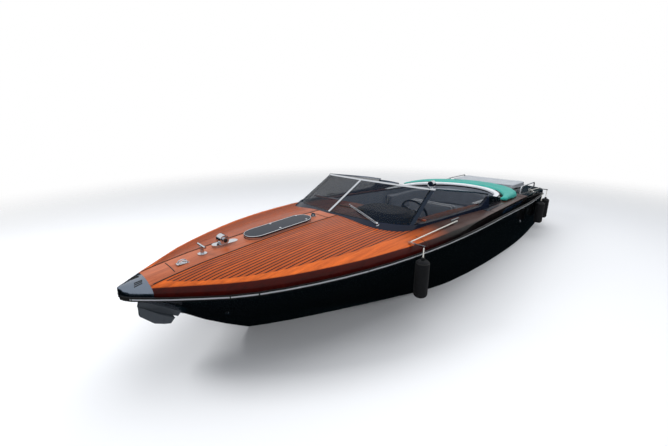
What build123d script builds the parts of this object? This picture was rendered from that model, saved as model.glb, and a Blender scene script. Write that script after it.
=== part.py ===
"""Open sports runabout, 8.2 m, afloat: hull, mahogany deck, cockpit and stern drive.

Millimetres. +X is forward, +Y is to port, +Z is up. The origin lies on the
waterplane, on the centreline, halfway along the boat.
"""
import math
import os

from build123d import *

os.makedirs("parts", exist_ok=True)

# Hull form: one row for each station
STATION_COLUMNS = ("x", "keel_z", "chine_y", "chine_z", "rub_y", "rub_z", "crown", "flare")
STATIONS = (
    (-3720, -478, 850, -160, 925, 686, 36, -6),
    (-2130, -500, 1010, -120, 1125, 747, 56, -8),
    (-570, -510, 1030, -70, 1210, 794, 85, -6),
    (600, -500, 950, 0, 1262, 822, 126, 6),
    (1610, -430, 740, 90, 1215, 824, 146, 26),
    (2540, -235, 470, 230, 1030, 808, 124, 34),
    (3320, 190, 210, 410, 690, 780, 83, 26),
    (3790, 555, 90, 640, 335, 778, 40, 8),
    (4030, 728, 38, 752, 122, 782, 15, 1),
    (4078, 760, 20, 772, 62, 784, 8, 0.5),
    (4100, 776, 7, 780, 20, 786, 4, 0.2),
)
FORM_XS = (
    -3720, -3350, -2950, -2500, -2000, -1500, -1000, -500, 0, 450, 850, 1200, 1500, 1800, 2080, 2350, 2600,
    2840, 3060, 3270, 3460, 3630, 3780, 3900, 3990, 4045, 4078, 4100,
)
ROLL_UP = 100
ROLL_IN = 52
HULL_WALL = 28
DECK_WALL = 24
INNER_LAST_X = 3800
SHELL_TO = 3560
SEAM_GAP = 0.3

# Sheer line in the side view, two arcs
SHEER_START = (-3700, 688)
SHEER_AFT_MID = (-1200, 778)
SHEER_PEAK = (1200, 826)
SHEER_FORE_MID = (2540, 806)
SHEER_END = (4200, 784)
SHEER_ARCS = ((SHEER_START, SHEER_AFT_MID, SHEER_PEAK), (SHEER_PEAK, SHEER_FORE_MID, SHEER_END))
HALF_REACH = 2000

# Deck joinery
KING_HALF = 165
PLANK_WIDTH = 52
COVERING_WIDTH = 165
PLANK_END_X = 1000
FOREDECK_TIP_X = 3700
STERN_DECK_X = -2150
CAP_AFT_X = 3905

# Rub rail
RUB_HEIGHT = 34
RUB_PROUD = 17
RUB_BITE = 10
RUB_AFT_X = -3480

# Cockpit
COCKPIT_FRONT_X = 1230
COCKPIT_HALF_FRONT = 800
COCKPIT_HALF_AFT = 850
COCKPIT_SIDE_END_X = -1060
COCKPIT_AFT_X = -1930
SOLE_Z = 110
SOLE_THICK = 24
LINER_WALL = 16
LINER_GAP = 2

# Windscreen: outline of the glass at two levels
GLASS_LOW_Z = 1000
GLASS_HIGH_Z = 1400
GLASS_LOW = ((1960, 0), (1845, 925), (-420, 1010))
GLASS_HIGH = ((1250, 0), (1095, 850), (-470, 960))
GLASS_LOW_RADIUS = 590
GLASS_HIGH_RADIUS = 340
GLASS_THICK = 8
RAIL_THICK = 20
RAIL_HEIGHT = 20
BASE_THICK = 46
TOP_LINE = ((1300, 1402), (920, 1338), (620, 1290), (0, 1190), (-418, 1108))
BASE_LINE = ((2000, 1100), (1380, 1014), (900, 994), (-160, 984), (-418, 1086))
MULLION_WIDTH = 34
MULLION_LOW = ((1460, 980), (1520, 980))
MULLION_HIGH = ((874, 1380), (934, 1380))

# Cabin bulkhead and door
BULKHEAD_X = 1215
BULKHEAD_THICK = 20
DOOR_LEFT = -20
DOOR_RIGHT = -520
DOOR_LOW = 150
DOOR_TOP = 930
DOOR_GAP = 5
BERTH_Z = 150
BERTH_THICK = 90

# Helm
HELM_X = 750
HELM_Y = 520
HELM_Z = 960
HELM_AXIS = (-0.925, 0, 0.38)
WHEEL_RADIUS = 190
WHEEL_RIM = 14
WHEEL_HUB = 38
COWL_X = 1330
COWL_Y = 470

THROTTLE_Y = 250
DASH_FACE_X = 1000
DIALS = ((620, 800, 46), (510, 800, 46), (400, 800, 46), (330, 740, 30), (690, 740, 30))

# Seats
BENCH_X = 330
BENCH_Y = 440
BENCH_WIDTH = 720
BENCH_DEPTH = 500
BENCH_SEAT_Z = 530
BENCH_SEAT_THICK = 110
BENCH_BACK_X = 235
BENCH_BACK_THICK = 130
BENCH_BACK_TOP = 1000
AFT_SEAT_Z = 430
AFT_CUSHION_THICK = 110
AFT_SEAT_FRONT_X = -380
AFT_WELL_X = -1330
AFT_WELL_HALF = 380
AFT_BACK_THICK = 130
COAMING_LOW_Z = 850
COAMING_TOP_Z = 962
COAMING_OUT = 40
COAMING_IN = 60
COAMING_FRONT_X = -380
SUNPAD_FRONT_X = -1200
SUNPAD_FRONT_HALF = 1015
SUNPAD_AFT_X = -1760
SUNPAD_AFT_HALF = 985
SUNPAD_BACK_X = -2500
SUNPAD_TOP_Z = 962

# Ground tackle
CLEATS = ((750, 165, 190), (-2850, 165, 190))
BOLLARD_X = 3410
WINDLASS_X = 3160
WINDLASS_Y = -60
DECK_LIGHT_X = 2080
LAMP_X = 930
LAMP_Y = 858
LAMP_Z = 1390
FENDERS = ((1750, 400), (-2600, 280), (-3250, 240))
FENDER_RADIUS = 72
FENDER_LENGTH = 400
HOOK_RISE = 120
LINE_RADIUS = 6
RAIL_Y = 770
RAIL_FRONT_X = -2640
RAIL_AFT_X = -3480
RAIL_RISE = 70
ANCHOR_SHANK = 40
ANCHOR_FLUKE = 156
ANCHOR_SHANK_LINE = ((3660, 480), (3700, 440), (3990, 640), (3975, 690), (3900, 690))
ANCHOR_FLUKE_LINE = ((3985, 650), (3990, 560), (3900, 470), (3780, 430), (3740, 470), (3870, 560))
BAND_THICK = 4
BAND_HALF = 95
BAND_AFT_X = 3640
BAND_LOW_Z = 440

# Skylight
SKY_FRONT_X = 2970
SKY_REAR_X = 2150
SKY_WIDTH = 262
SKY_FRAME = 20
SKY_LID_THICK = 14
SKY_FRAME_DEEP = 40
SKY_FRAME_PROUD = 12

# Stern
HATCH_FRONT_X = -2560
HATCH_AFT_X = -3300
HATCH_HALF = 660
HATCH_GAP = 6
HINGE_Z = 838
PLATFORM_AFT_X = -4100
PLATFORM_HALF = 860
EXHAUST_Y = 430
EXHAUST_Z = 150
EXHAUST_RADIUS = 55
TAB_Y = 560
TAB_Z = -300
PLATFORM_Z = 300
PLATFORM_THICK = 46
TRANSOM_X = -3640
TRANSOM_BOW = 60
TRANSOM_HALF = 945
TRANSOM_CORNER = 120

AFT_PAD_TOP_Z = 945
ENGINE_FRONT_X = -2350
ENGINE_AFT_X = -3400
ENGINE_LOW_Z = -260
ENGINE_TOP_Z = 430

# Stern drive
STEER_X = -3760
DRIVE_Z = -60
TILT_X = -3832
LUG_TOP_Z = 30
LUG_LOW_Z = -290
YOKE_GAP = 0.3
YOKE_RADIUS = 20
PROP_Z = -600
PROP_X = -4020
SHAFT_RADIUS = 14
BLADE_ROWS = ((30, 62, 12, 60), (111, 66, 8, 120), (185, 70, 5, 60))


def finish(piece, name):
    """Label a finished piece and write it."""
    piece.part.label = name
    export_step(piece.part, f"parts/{name}.step")


def box_between(low, high):
    """Box from its lowest to its highest corner, as its own solid."""
    size = [b - a for a, b in zip(low, high)]
    middle = [(a + b) / 2 for a, b in zip(low, high)]
    return Pos(*middle) * Box(*size, mode=Mode.PRIVATE)


def station(x, column):
    """Value of one column of the station table at x, on a smooth curve through the stations."""
    k = STATION_COLUMNS.index(column)
    rows = STATIONS
    if x <= rows[0][0]:
        return rows[0][k]
    for i in range(len(rows) - 1):
        low, high = rows[i], rows[i + 1]
        if x <= high[0]:
            before, after = rows[max(i - 1, 0)], rows[min(i + 2, len(rows) - 1)]
            span = high[0] - low[0]
            start = span * (high[k] - before[k]) / (high[0] - before[0])
            end = span * (after[k] - low[k]) / (after[0] - low[0])
            t = (x - low[0]) / span
            share = t * t * (3 - 2 * t)
            return low[k] + share * (high[k] - low[k]) + t * (1 - t) ** 2 * start - t * t * (1 - t) * end
    return rows[-1][k]


def deck_z(x, y):
    """Height of the deck's upper surface, near enough to place a fitting."""
    half = station(x, "rub_y") - ROLL_IN
    edge = station(x, "rub_z") + ROLL_UP
    return edge + station(x, "crown") * (1 - min(1, abs(y) / half) ** 2)


def section(row, inset=0.0, deck_inset=0.0):
    """Closed hull and deck outline of one station, moved inwards by an inset."""
    values = dict(zip(STATION_COLUMNS, row))
    roll_in = min(ROLL_IN, 0.42 * values["rub_y"])
    roll_up = ROLL_UP * (0.72 + 0.28 * min(1, values["rub_y"] / 600))
    keel = (0, values["keel_z"] + 1.25 * inset)
    chine = (values["chine_y"] - inset, values["chine_z"] + 0.5 * inset)
    rub = (values["rub_y"] - inset, values["rub_z"])
    side = ((chine[0] + rub[0]) / 2 - values["flare"], (chine[1] + rub[1]) / 2)
    edge = (values["rub_y"] - roll_in - 0.9 * inset, values["rub_z"] + roll_up - deck_inset)
    roll = (rub[0] - 0.22 * roll_in, values["rub_z"] + 0.66 * (roll_up - deck_inset))
    crown = (0, edge[1] + values["crown"])
    with BuildSketch(Plane.YZ.offset(values["x"])) as outline:
        with BuildLine():
            Line(keel, chine)
            ThreePointArc(chine, side, rub)
            ThreePointArc(rub, roll, edge)
            ThreePointArc(edge, crown, (-edge[0], edge[1]))
            ThreePointArc((-edge[0], edge[1]), (-roll[0], roll[1]), (-rub[0], rub[1]))
            ThreePointArc((-rub[0], rub[1]), (-side[0], side[1]), (-chine[0], chine[1]))
            Line((-chine[0], chine[1]), keel)
        make_face()
    return outline.sketch


def row_at(x):
    """Station row worked out at any x."""
    return (x,) + tuple(station(x, name) for name in STATION_COLUMNS[1:])


def hull_form(rows, inset=0.0, deck_inset=0.0):
    """Solid through the given station rows, close enough together to look smooth."""
    with BuildPart() as form:
        for row in rows:
            add(section(row, inset, deck_inset).faces())
        loft(ruled=True)
    return form.part


def stern_column(inset=0.0):
    """Plan of all that lies ahead of the rounded transom, drawn up through the hull."""
    with BuildPart() as column:
        with BuildSketch(Plane.XY.offset(-900)):
            with BuildLine():
                Polyline((TRANSOM_X + inset + TRANSOM_BOW, -TRANSOM_HALF + inset), (4300, -1500), (4300, 1500),
                         (TRANSOM_X + inset + TRANSOM_BOW, TRANSOM_HALF - inset))
                ThreePointArc((TRANSOM_X + inset + TRANSOM_BOW, TRANSOM_HALF - inset), (TRANSOM_X + inset, 0),
                              (TRANSOM_X + inset + TRANSOM_BOW, -TRANSOM_HALF + inset))
            make_face()
        extrude(amount=2200)
        corners = column.edges().filter_by(Axis.Z).sort_by(Axis.X)[:2]
        fillet(corners, TRANSOM_CORNER - inset)
    return column.part


with BuildPart() as outer_form:
    add(hull_form([row_at(x) for x in FORM_XS]))
    add(stern_column(), mode=Mode.INTERSECT)
envelope = outer_form.part
inner_rows = [row_at(x) for x in FORM_XS if x < INNER_LAST_X]
with BuildPart() as cavity_form:
    add(hull_form(inner_rows, HULL_WALL, DECK_WALL))
    add(stern_column(HULL_WALL), mode=Mode.INTERSECT)
    add(box_between((SHELL_TO, -1500, -900), (4300, 1500, 1500)), mode=Mode.SUBTRACT)
cavity = cavity_form.part
with BuildPart() as lining_form:
    add(hull_form(inner_rows, HULL_WALL + SEAM_GAP, DECK_WALL + SEAM_GAP))
    add(stern_column(HULL_WALL + SEAM_GAP), mode=Mode.INTERSECT)
    add(box_between((SHELL_TO - SEAM_GAP, -1500, -900), (4300, 1500, 1500)), mode=Mode.SUBTRACT)
lining = lining_form.part


def below_sheer(lift=0.0, floor=-900):
    """Solid below the raised sheer line, wider than the boat."""
    with BuildPart() as solid:
        with BuildSketch(Plane.XZ.offset(-HALF_REACH)):
            with BuildLine():
                Line((SHEER_START[0], floor), (SHEER_START[0], SHEER_START[1] + lift))
                for arc in SHEER_ARCS:
                    ThreePointArc(*[(x, z + lift) for x, z in arc])
                Line((SHEER_END[0], SHEER_END[1] + lift), (SHEER_END[0], floor))
                Line((SHEER_END[0], floor), (SHEER_START[0], floor))
            make_face()
        extrude(amount=2 * HALF_REACH)
    return solid.part


def cockpit_outline(grow=0.0):
    """Plan of the cockpit opening, round at its aft end."""
    with BuildSketch() as outline:
        with BuildLine():
            front = (COCKPIT_FRONT_X + grow, COCKPIT_HALF_FRONT + grow)
            side = (COCKPIT_SIDE_END_X, COCKPIT_HALF_AFT + grow)
            Line((front[0], -front[1]), front)
            Line(front, side)
            ThreePointArc(side, (COCKPIT_AFT_X - grow, 0), (side[0], -side[1]))
            Line((side[0], -side[1]), (front[0], -front[1]))
        make_face()
    return outline.sketch


def cockpit_column(low, high, grow=0.0):
    """Cockpit plan drawn up from one height to another."""
    with BuildPart() as column:
        add((Plane.XY.offset(low) * cockpit_outline(grow)).faces())
        extrude(amount=high - low)
    return column.part


def wrap(thick, low=GLASS_LOW_Z - 60, high=GLASS_HIGH_Z + 20):
    """Raked screen wall round the front of the cockpit, ruled between two outlines."""
    with BuildPart() as wall:
        for level in (low, high):
            share = (level - GLASS_LOW_Z) / (GLASS_HIGH_Z - GLASS_LOW_Z)
            points = []
            for a, b in zip(GLASS_LOW, GLASS_HIGH):
                points.append((a[0] + share * (b[0] - a[0]), a[1] + share * (b[1] - a[1])))
            radius = GLASS_LOW_RADIUS + share * (GLASS_HIGH_RADIUS - GLASS_LOW_RADIUS)
            with BuildSketch(Plane.XY.offset(level)):
                with BuildLine() as path:
                    full = points[::-1] + [(x, -y) for x, y in points[1:]]
                    FilletPolyline(*full, radius=radius)
                trace(line_width=thick)
        loft(ruled=True)
    return wall.part


def side_strip(lower, upper):
    """Solid between two broken lines in the side view."""
    with BuildPart() as strip:
        with BuildSketch(Plane.XZ.offset(-HALF_REACH)):
            with BuildLine():
                Polyline(*lower, *upper[::-1], lower[0])
            make_face()
        extrude(amount=2 * HALF_REACH)
    return strip.part


def shifted(line, dz):
    """Broken line moved up."""
    return [(x, z + dz) for x, z in line]


# Hull and deck shells
with BuildPart() as hull_shell:
    add(envelope)
    add(below_sheer(), mode=Mode.INTERSECT)
    add(cavity, mode=Mode.SUBTRACT)
    add(box_between((CAP_AFT_X, -400, 700), (4300, 400, 900)), mode=Mode.SUBTRACT)
finish(hull_shell, "hull_shell")

with BuildPart() as whole_deck:
    add(envelope)
    add(below_sheer(SEAM_GAP), mode=Mode.SUBTRACT)
    add(cavity, mode=Mode.SUBTRACT)
    add(box_between((CAP_AFT_X - SEAM_GAP, -400, 600), (4300, 400, 1000)), mode=Mode.SUBTRACT)

with BuildPart() as deck_shell:
    add(whole_deck.part)
    add(cockpit_column(600, 1300), mode=Mode.SUBTRACT)
    with BuildSketch(Plane.XY.offset(600)):
        with Locations(((SKY_FRONT_X + SKY_REAR_X) / 2, 0)):
            SlotOverall(SKY_FRONT_X - SKY_REAR_X, SKY_WIDTH)
        with Locations(((HATCH_FRONT_X + HATCH_AFT_X) / 2, 0)):
            RectangleRounded(HATCH_FRONT_X - HATCH_AFT_X, 2 * HATCH_HALF, 60)
    extrude(amount=800, mode=Mode.SUBTRACT)


def plank_outline():
    """Stepped plan of the planked deck to port: every plank ends square at the margin."""
    points = [(PLANK_END_X, KING_HALF)]
    count = 0
    while KING_HALF + count * PLANK_WIDTH < 1240:
        y = KING_HALF + (count + 1) * PLANK_WIDTH
        margin = COVERING_WIDTH + ROLL_IN
        fore = None
        for k in range(0, 640):
            x = FOREDECK_TIP_X - 10 * k
            if station(x, "rub_y") - margin >= y:
                fore = x
                break
        if fore is None or y > 1030:
            break
        points.append((fore, KING_HALF + count * PLANK_WIDTH))
        points.append((fore, y))
        count += 1
    points.append((PLANK_END_X, KING_HALF + count * PLANK_WIDTH))
    points.append((PLANK_END_X, KING_HALF))
    return points


with BuildSketch(Plane.XY.offset(600)) as king_plan:
    with Locations(((COCKPIT_FRONT_X + CAP_AFT_X) / 2, 0)):
        Rectangle(CAP_AFT_X - COCKPIT_FRONT_X, 2 * KING_HALF - SEAM_GAP)
with BuildPart() as king_plank:
    add(deck_shell.part)
    add(king_plan.sketch.faces())
    extrude(amount=600, mode=Mode.INTERSECT)
finish(king_plank, "king_plank")

with BuildSketch(Plane.XY.offset(600)) as planking_plan:
    with BuildLine():
        Polyline(*plank_outline())
    make_face()
    mirror(about=Plane.XZ)
with BuildPart() as deck_planking:
    add(deck_shell.part)
    add(planking_plan.sketch.faces())
    extrude(amount=600, mode=Mode.INTERSECT)
finish(deck_planking, "deck_planking")

with BuildPart() as covering_boards:
    add(deck_shell.part)
    add(planking_plan.sketch.faces())
    add(king_plan.sketch.faces())
    extrude(amount=600, mode=Mode.SUBTRACT)
    add(box_between((-4000, -1400, 500), (STERN_DECK_X, 1400, 1300)), mode=Mode.SUBTRACT)
finish(covering_boards, "covering_boards")

with BuildPart() as stern_deck:
    add(deck_shell.part)
    add(box_between((-4000, -1400, 500), (STERN_DECK_X - SEAM_GAP, 1400, 1300)), mode=Mode.INTERSECT)
finish(stern_deck, "stern_deck")

# Rub rail and bow cap
with BuildPart() as rail_strip:
    for row in [row_at(RUB_AFT_X)] + [row_at(x) for x in FORM_XS if x > RUB_AFT_X + 100]:
        x, y, z = row[0], row[4], row[5]
        with BuildSketch(Plane.YZ.offset(x)):
            with Locations((y + (RUB_PROUD - RUB_BITE) / 2, z)):
                Rectangle(RUB_PROUD + RUB_BITE, RUB_HEIGHT)
    loft(ruled=True)
    add(envelope, mode=Mode.SUBTRACT)
with BuildPart() as rub_rail:
    add(rail_strip.solids().sort_by(SortBy.VOLUME)[-1])
    mirror(about=Plane.XZ)
finish(rub_rail, "rub_rail")

with BuildPart() as bow_cap:
    add(envelope)
    add(box_between((CAP_AFT_X, -400, 738), (4300, 400, 1000)), mode=Mode.INTERSECT)
finish(bow_cap, "bow_cap")

# Polished stem band, and the plough anchor stowed against it
with BuildPart() as stem_band:
    add(hull_form([row_at(x) for x in FORM_XS if x > 3400], -BAND_THICK))
    add(box_between((BAND_AFT_X, -BAND_HALF, BAND_LOW_Z), (4300, BAND_HALF, 742)), mode=Mode.INTERSECT)
    add(envelope, mode=Mode.SUBTRACT)
finish(stem_band, "stem_band")

with BuildPart() as anchor:
    with BuildSketch(Plane.XZ.offset(-ANCHOR_SHANK / 2)):
        with BuildLine():
            Polyline(*ANCHOR_SHANK_LINE, ANCHOR_SHANK_LINE[0])
        make_face()
    extrude(amount=ANCHOR_SHANK)
    with BuildSketch(Plane.XZ.offset(-ANCHOR_FLUKE / 2)):
        with BuildLine():
            Polyline(*ANCHOR_FLUKE_LINE, ANCHOR_FLUKE_LINE[0])
        make_face()
    extrude(amount=ANCHOR_FLUKE)
    with BuildSketch(Plane.XY.offset(300)):
        for side in (-1, 1):
            with BuildLine():
                Polyline((4020, side * 8), (4020, side * 200), (3700, side * 200), (3830, side * 78), (4020, side * 8))
            make_face()
    extrude(amount=400, mode=Mode.SUBTRACT)
    add(envelope, mode=Mode.SUBTRACT)
    add(stem_band.part, mode=Mode.SUBTRACT)
finish(anchor, "anchor")

# Windscreen
glass_wall = wrap(GLASS_THICK)
rail_wall = wrap(RAIL_THICK)
base_wall = wrap(BASE_THICK, GLASS_LOW_Z - 140, GLASS_HIGH_Z)
with BuildPart() as windscreen_glass:
    add(glass_wall)
    add(side_strip(shifted(BASE_LINE, SEAM_GAP), TOP_LINE), mode=Mode.INTERSECT)
finish(windscreen_glass, "windscreen_glass")
with BuildPart() as windscreen_rail:
    add(rail_wall)
    add(side_strip(shifted(TOP_LINE, SEAM_GAP), shifted(TOP_LINE, RAIL_HEIGHT)), mode=Mode.INTERSECT)
finish(windscreen_rail, "windscreen_rail")
with BuildPart() as windscreen_base:
    add(base_wall)
    add(side_strip(shifted(BASE_LINE, -300), BASE_LINE), mode=Mode.INTERSECT)
    add(envelope, mode=Mode.SUBTRACT)
finish(windscreen_base, "windscreen_base")


# Cockpit liner and cabin bulkhead
with BuildPart() as cockpit_liner:
    add(cockpit_column(SOLE_Z - SOLE_THICK, 1250, LINER_WALL))
    add(box_between((BULKHEAD_X, -1300, 0), (1400, 1300, 1300)), mode=Mode.SUBTRACT)
    add(cockpit_column(SOLE_Z, 1300), mode=Mode.SUBTRACT)
    add(lining, mode=Mode.INTERSECT)
finish(cockpit_liner, "cockpit_liner")

with BuildPart() as cabin_bulkhead:
    add(box_between((BULKHEAD_X + SEAM_GAP, -1300, -600), (BULKHEAD_X + BULKHEAD_THICK, 1300, 1250)))
    add(lining, mode=Mode.INTERSECT)
    add(box_between((BULKHEAD_X - 50, DOOR_RIGHT, DOOR_LOW), (BULKHEAD_X + 60, DOOR_LEFT, DOOR_TOP)), mode=Mode.SUBTRACT)
finish(cabin_bulkhead, "cabin_bulkhead")

with BuildPart() as cabin_door:
    add(box_between((BULKHEAD_X + 1, DOOR_RIGHT + DOOR_GAP, DOOR_LOW + DOOR_GAP),
                    (BULKHEAD_X + 19, DOOR_LEFT - DOOR_GAP, DOOR_TOP - DOOR_GAP)))
    with BuildSketch(Plane.YZ.offset(BULKHEAD_X + 1)):
        with Locations(((DOOR_LEFT + DOOR_RIGHT) / 2, (DOOR_LOW + DOOR_TOP) / 2)):
            RectangleRounded(DOOR_LEFT - DOOR_RIGHT - 140, DOOR_TOP - DOOR_LOW - 140, 20)
    extrude(amount=4, mode=Mode.SUBTRACT)
    with BuildSketch(Plane.YZ.offset(BULKHEAD_X + 1)):
        with Locations((DOOR_LEFT - 45, (DOOR_LOW + DOOR_TOP) / 2)):
            Circle(9)
    extrude(amount=-34)
    for z in (DOOR_LOW + 90, DOOR_TOP - 150):
        with BuildSketch(Plane.XY.offset(z)):
            with Locations((BULKHEAD_X + 1, DOOR_RIGHT + DOOR_GAP)):
                Circle(DOOR_GAP - SEAM_GAP)
        extrude(amount=60)
finish(cabin_door, "cabin_door")

with BuildPart() as cabin_berth:
    with BuildSketch(Plane.XY.offset(BERTH_Z)):
        with BuildLine():
            Polyline((BULKHEAD_X + 300, -1100), (BULKHEAD_X + 300, 1100), (3000, 500), (3000, -500),
                     (BULKHEAD_X + 300, -1100))
        make_face()
    extrude(amount=BERTH_THICK)
    add(lining, mode=Mode.INTERSECT)
finish(cabin_berth, "cabin_berth")

# Dash, cowl, wheel
dash_line = ((1215, 470), (1130, 500), (1020, 700), (985, 880), (1040, 1010), (1215, 1040.7), (1215, 470))
with BuildPart() as dashboard:
    for near, far in ((DOOR_LEFT + 40, 790), (-790, DOOR_RIGHT - 40)):
        with BuildSketch(Plane.XZ.offset(-far)):
            with BuildLine():
                Polyline(*dash_line)
            make_face()
        extrude(amount=far - near)
finish(dashboard, "dashboard")

with BuildPart() as dash_cowl:
    for level, ax, ay in ((1030, 300, 390), (1080, 270, 370), (1112, 200, 290)):
        with BuildSketch(Plane.XY.offset(level)):
            with Locations((COWL_X, COWL_Y)):
                RectangleRounded(2 * ax, 2 * ay, 0.96 * ax)
    loft(ruled=True)
    add(envelope, mode=Mode.SUBTRACT)
    add(box_between((900, -200, 900), (COCKPIT_FRONT_X, 1000, 1041)), mode=Mode.SUBTRACT)
finish(dash_cowl, "dash_cowl")

helm = Plane(origin=(HELM_X, HELM_Y, HELM_Z), x_dir=(0, 1, 0), z_dir=HELM_AXIS)
with BuildPart() as steering_wheel:
    with BuildSketch(Plane(origin=helm.origin, x_dir=helm.z_dir, z_dir=helm.x_dir)):
        with Locations((0, WHEEL_RADIUS)):
            Circle(WHEEL_RIM)
    revolve(axis=Axis(helm.origin, helm.z_dir))
    with BuildSketch(helm.offset(-WHEEL_RIM)):
        Circle(WHEEL_HUB)
        with PolarLocations(0, 3, 90):
            with Locations((WHEEL_RADIUS / 2, 0)):
                Rectangle(WHEEL_RADIUS, 30)
    extrude(amount=12)
    with BuildSketch(helm.offset(-WHEEL_RIM)):
        Circle(WHEEL_HUB)
    extrude(amount=24)
finish(steering_wheel, "steering_wheel")

with BuildPart() as steering_column:
    with BuildSketch(helm.offset(-WHEEL_RIM - 0.3)):
        Circle(34)
    extrude(amount=-240, taper=-4)
    add(dashboard.part, mode=Mode.SUBTRACT)
finish(steering_column, "steering_column")

with BuildPart() as throttle:
    with BuildSketch(Plane.XZ.offset(-THROTTLE_Y)):
        with BuildLine():
            Polyline((1000, 1000), (940, 1150), (960, 1158), (1030, 1010), (1000, 1000))
        make_face()
    extrude(amount=16)
    with BuildSketch(Plane.XY.offset(1000)):
        with Locations((1090, THROTTLE_Y - 8)):
            SlotOverall(130, 60)
    extrude(amount=46)
    add(dashboard.part, mode=Mode.SUBTRACT)
finish(throttle, "throttle")

# Helm bench
with BuildPart() as helm_bench_base:
    with BuildSketch(Plane.XY.offset(SOLE_Z)):
        with Locations((BENCH_X, BENCH_Y)):
            RectangleRounded(400, BENCH_WIDTH - 40, 60)
    extrude(amount=BENCH_SEAT_Z - SOLE_Z)
finish(helm_bench_base, "helm_bench_base")

with BuildPart() as helm_seat:
    with BuildSketch(Plane.XY.offset(BENCH_SEAT_Z + SEAM_GAP)):
        with Locations((BENCH_X + 40, BENCH_Y)):
            RectangleRounded(BENCH_DEPTH, BENCH_WIDTH, 70)
    extrude(amount=BENCH_SEAT_THICK)
    fillet(helm_seat.edges().group_by(Axis.Z)[-1], 30)
finish(helm_seat, "helm_seat")

with BuildPart() as helm_backrest:
    with BuildSketch(Plane.YZ.offset(BENCH_BACK_X)):
        with Locations((BENCH_Y, (BENCH_SEAT_Z + BENCH_BACK_TOP) / 2)):
            RectangleRounded(BENCH_WIDTH, BENCH_BACK_TOP - BENCH_SEAT_Z - 2 * SEAM_GAP, 60)
    extrude(amount=-BENCH_BACK_THICK)
    add(helm_seat.part, mode=Mode.SUBTRACT)
finish(helm_backrest, "helm_backrest")

# Aft bench, round the end of the cockpit
def aft_ring(low, high, outer, inner, front_x):
    """Piece between two cockpit outlines, aft of a cross line."""
    with BuildPart() as ring:
        add(cockpit_column(low, high, outer))
        if inner is not None:
            add(cockpit_column(low - 10, high + 10, inner), mode=Mode.SUBTRACT)
        add(box_between((front_x, -1300, low - 20), (1500, 1300, high + 20)), mode=Mode.SUBTRACT)
    return ring.part


with BuildPart() as aft_seat_base:
    add(aft_ring(SOLE_Z, AFT_SEAT_Z, -SEAM_GAP, None, AFT_SEAT_FRONT_X))
    add(box_between((AFT_WELL_X, -AFT_WELL_HALF, 0), (600, AFT_WELL_HALF, 700)), mode=Mode.SUBTRACT)
finish(aft_seat_base, "aft_seat_base")

with BuildPart() as aft_seat_cushion:
    add(aft_ring(AFT_SEAT_Z + SEAM_GAP, AFT_SEAT_Z + AFT_CUSHION_THICK, -2, None, AFT_SEAT_FRONT_X - 2))
    add(box_between((AFT_WELL_X - 2, -AFT_WELL_HALF - 2, 0), (600, AFT_WELL_HALF + 2, 900)), mode=Mode.SUBTRACT)
finish(aft_seat_cushion, "aft_seat_cushion")

with BuildPart() as aft_backrest:
    add(aft_ring(AFT_SEAT_Z + AFT_CUSHION_THICK + SEAM_GAP, COAMING_LOW_Z, -2, -AFT_BACK_THICK, AFT_SEAT_FRONT_X))
finish(aft_backrest, "aft_backrest")

with BuildPart() as coaming_pad:
    add(aft_ring(COAMING_LOW_Z + SEAM_GAP, COAMING_TOP_Z, COAMING_OUT, -COAMING_IN, COAMING_FRONT_X))
    add(envelope, mode=Mode.SUBTRACT)
finish(coaming_pad, "coaming_pad")

# Turquoise sun lounge round the end of the cockpit
with BuildPart() as sunpad:
    with BuildSketch(Plane.XY.offset(700)):
        with BuildLine():
            Polyline((SUNPAD_AFT_X, -SUNPAD_AFT_HALF), (SUNPAD_FRONT_X, -SUNPAD_FRONT_HALF), (SUNPAD_FRONT_X + 90, -900),
                     (SUNPAD_FRONT_X + 90, 900), (SUNPAD_FRONT_X, SUNPAD_FRONT_HALF), (SUNPAD_AFT_X, SUNPAD_AFT_HALF))
            ThreePointArc((SUNPAD_AFT_X, SUNPAD_AFT_HALF), (SUNPAD_BACK_X, 0), (SUNPAD_AFT_X, -SUNPAD_AFT_HALF))
        make_face()
    extrude(amount=SUNPAD_TOP_Z - 700)
    add(cockpit_column(600, 1200, COAMING_OUT + 34), mode=Mode.SUBTRACT)
    add(envelope, mode=Mode.SUBTRACT)
finish(sunpad, "sunpad")

# Engine hatch with its pad
def hatch_plan(low, inset):
    """Plan of the engine hatch, smaller by an inset."""
    with BuildSketch(Plane.XY.offset(low)) as plan:
        with Locations(((HATCH_FRONT_X + HATCH_AFT_X) / 2, 0)):
            RectangleRounded(HATCH_FRONT_X - HATCH_AFT_X - 2 * inset, 2 * (HATCH_HALF - inset), 60 - inset)
    return plan.sketch


with BuildPart() as engine_hatch:
    add(whole_deck.part)
    add(hatch_plan(600, HATCH_GAP).faces())
    extrude(amount=600, mode=Mode.INTERSECT)
    for y in (-440, 400):
        with BuildSketch(Plane.XZ.offset(-y - 40)):
            with Locations((HATCH_AFT_X + HATCH_GAP, HINGE_Z)):
                Circle(HATCH_GAP - SEAM_GAP)
        extrude(amount=80)
finish(engine_hatch, "engine_hatch")
with BuildPart() as aft_pad:
    add(hatch_plan(780, 2 * HATCH_GAP).faces())
    extrude(amount=AFT_PAD_TOP_Z - 780)
    fillet(aft_pad.edges().group_by(Axis.Z)[-1], 24)
    add(Pos(0, 0, SEAM_GAP) * envelope, mode=Mode.SUBTRACT)
finish(aft_pad, "aft_pad")

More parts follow.
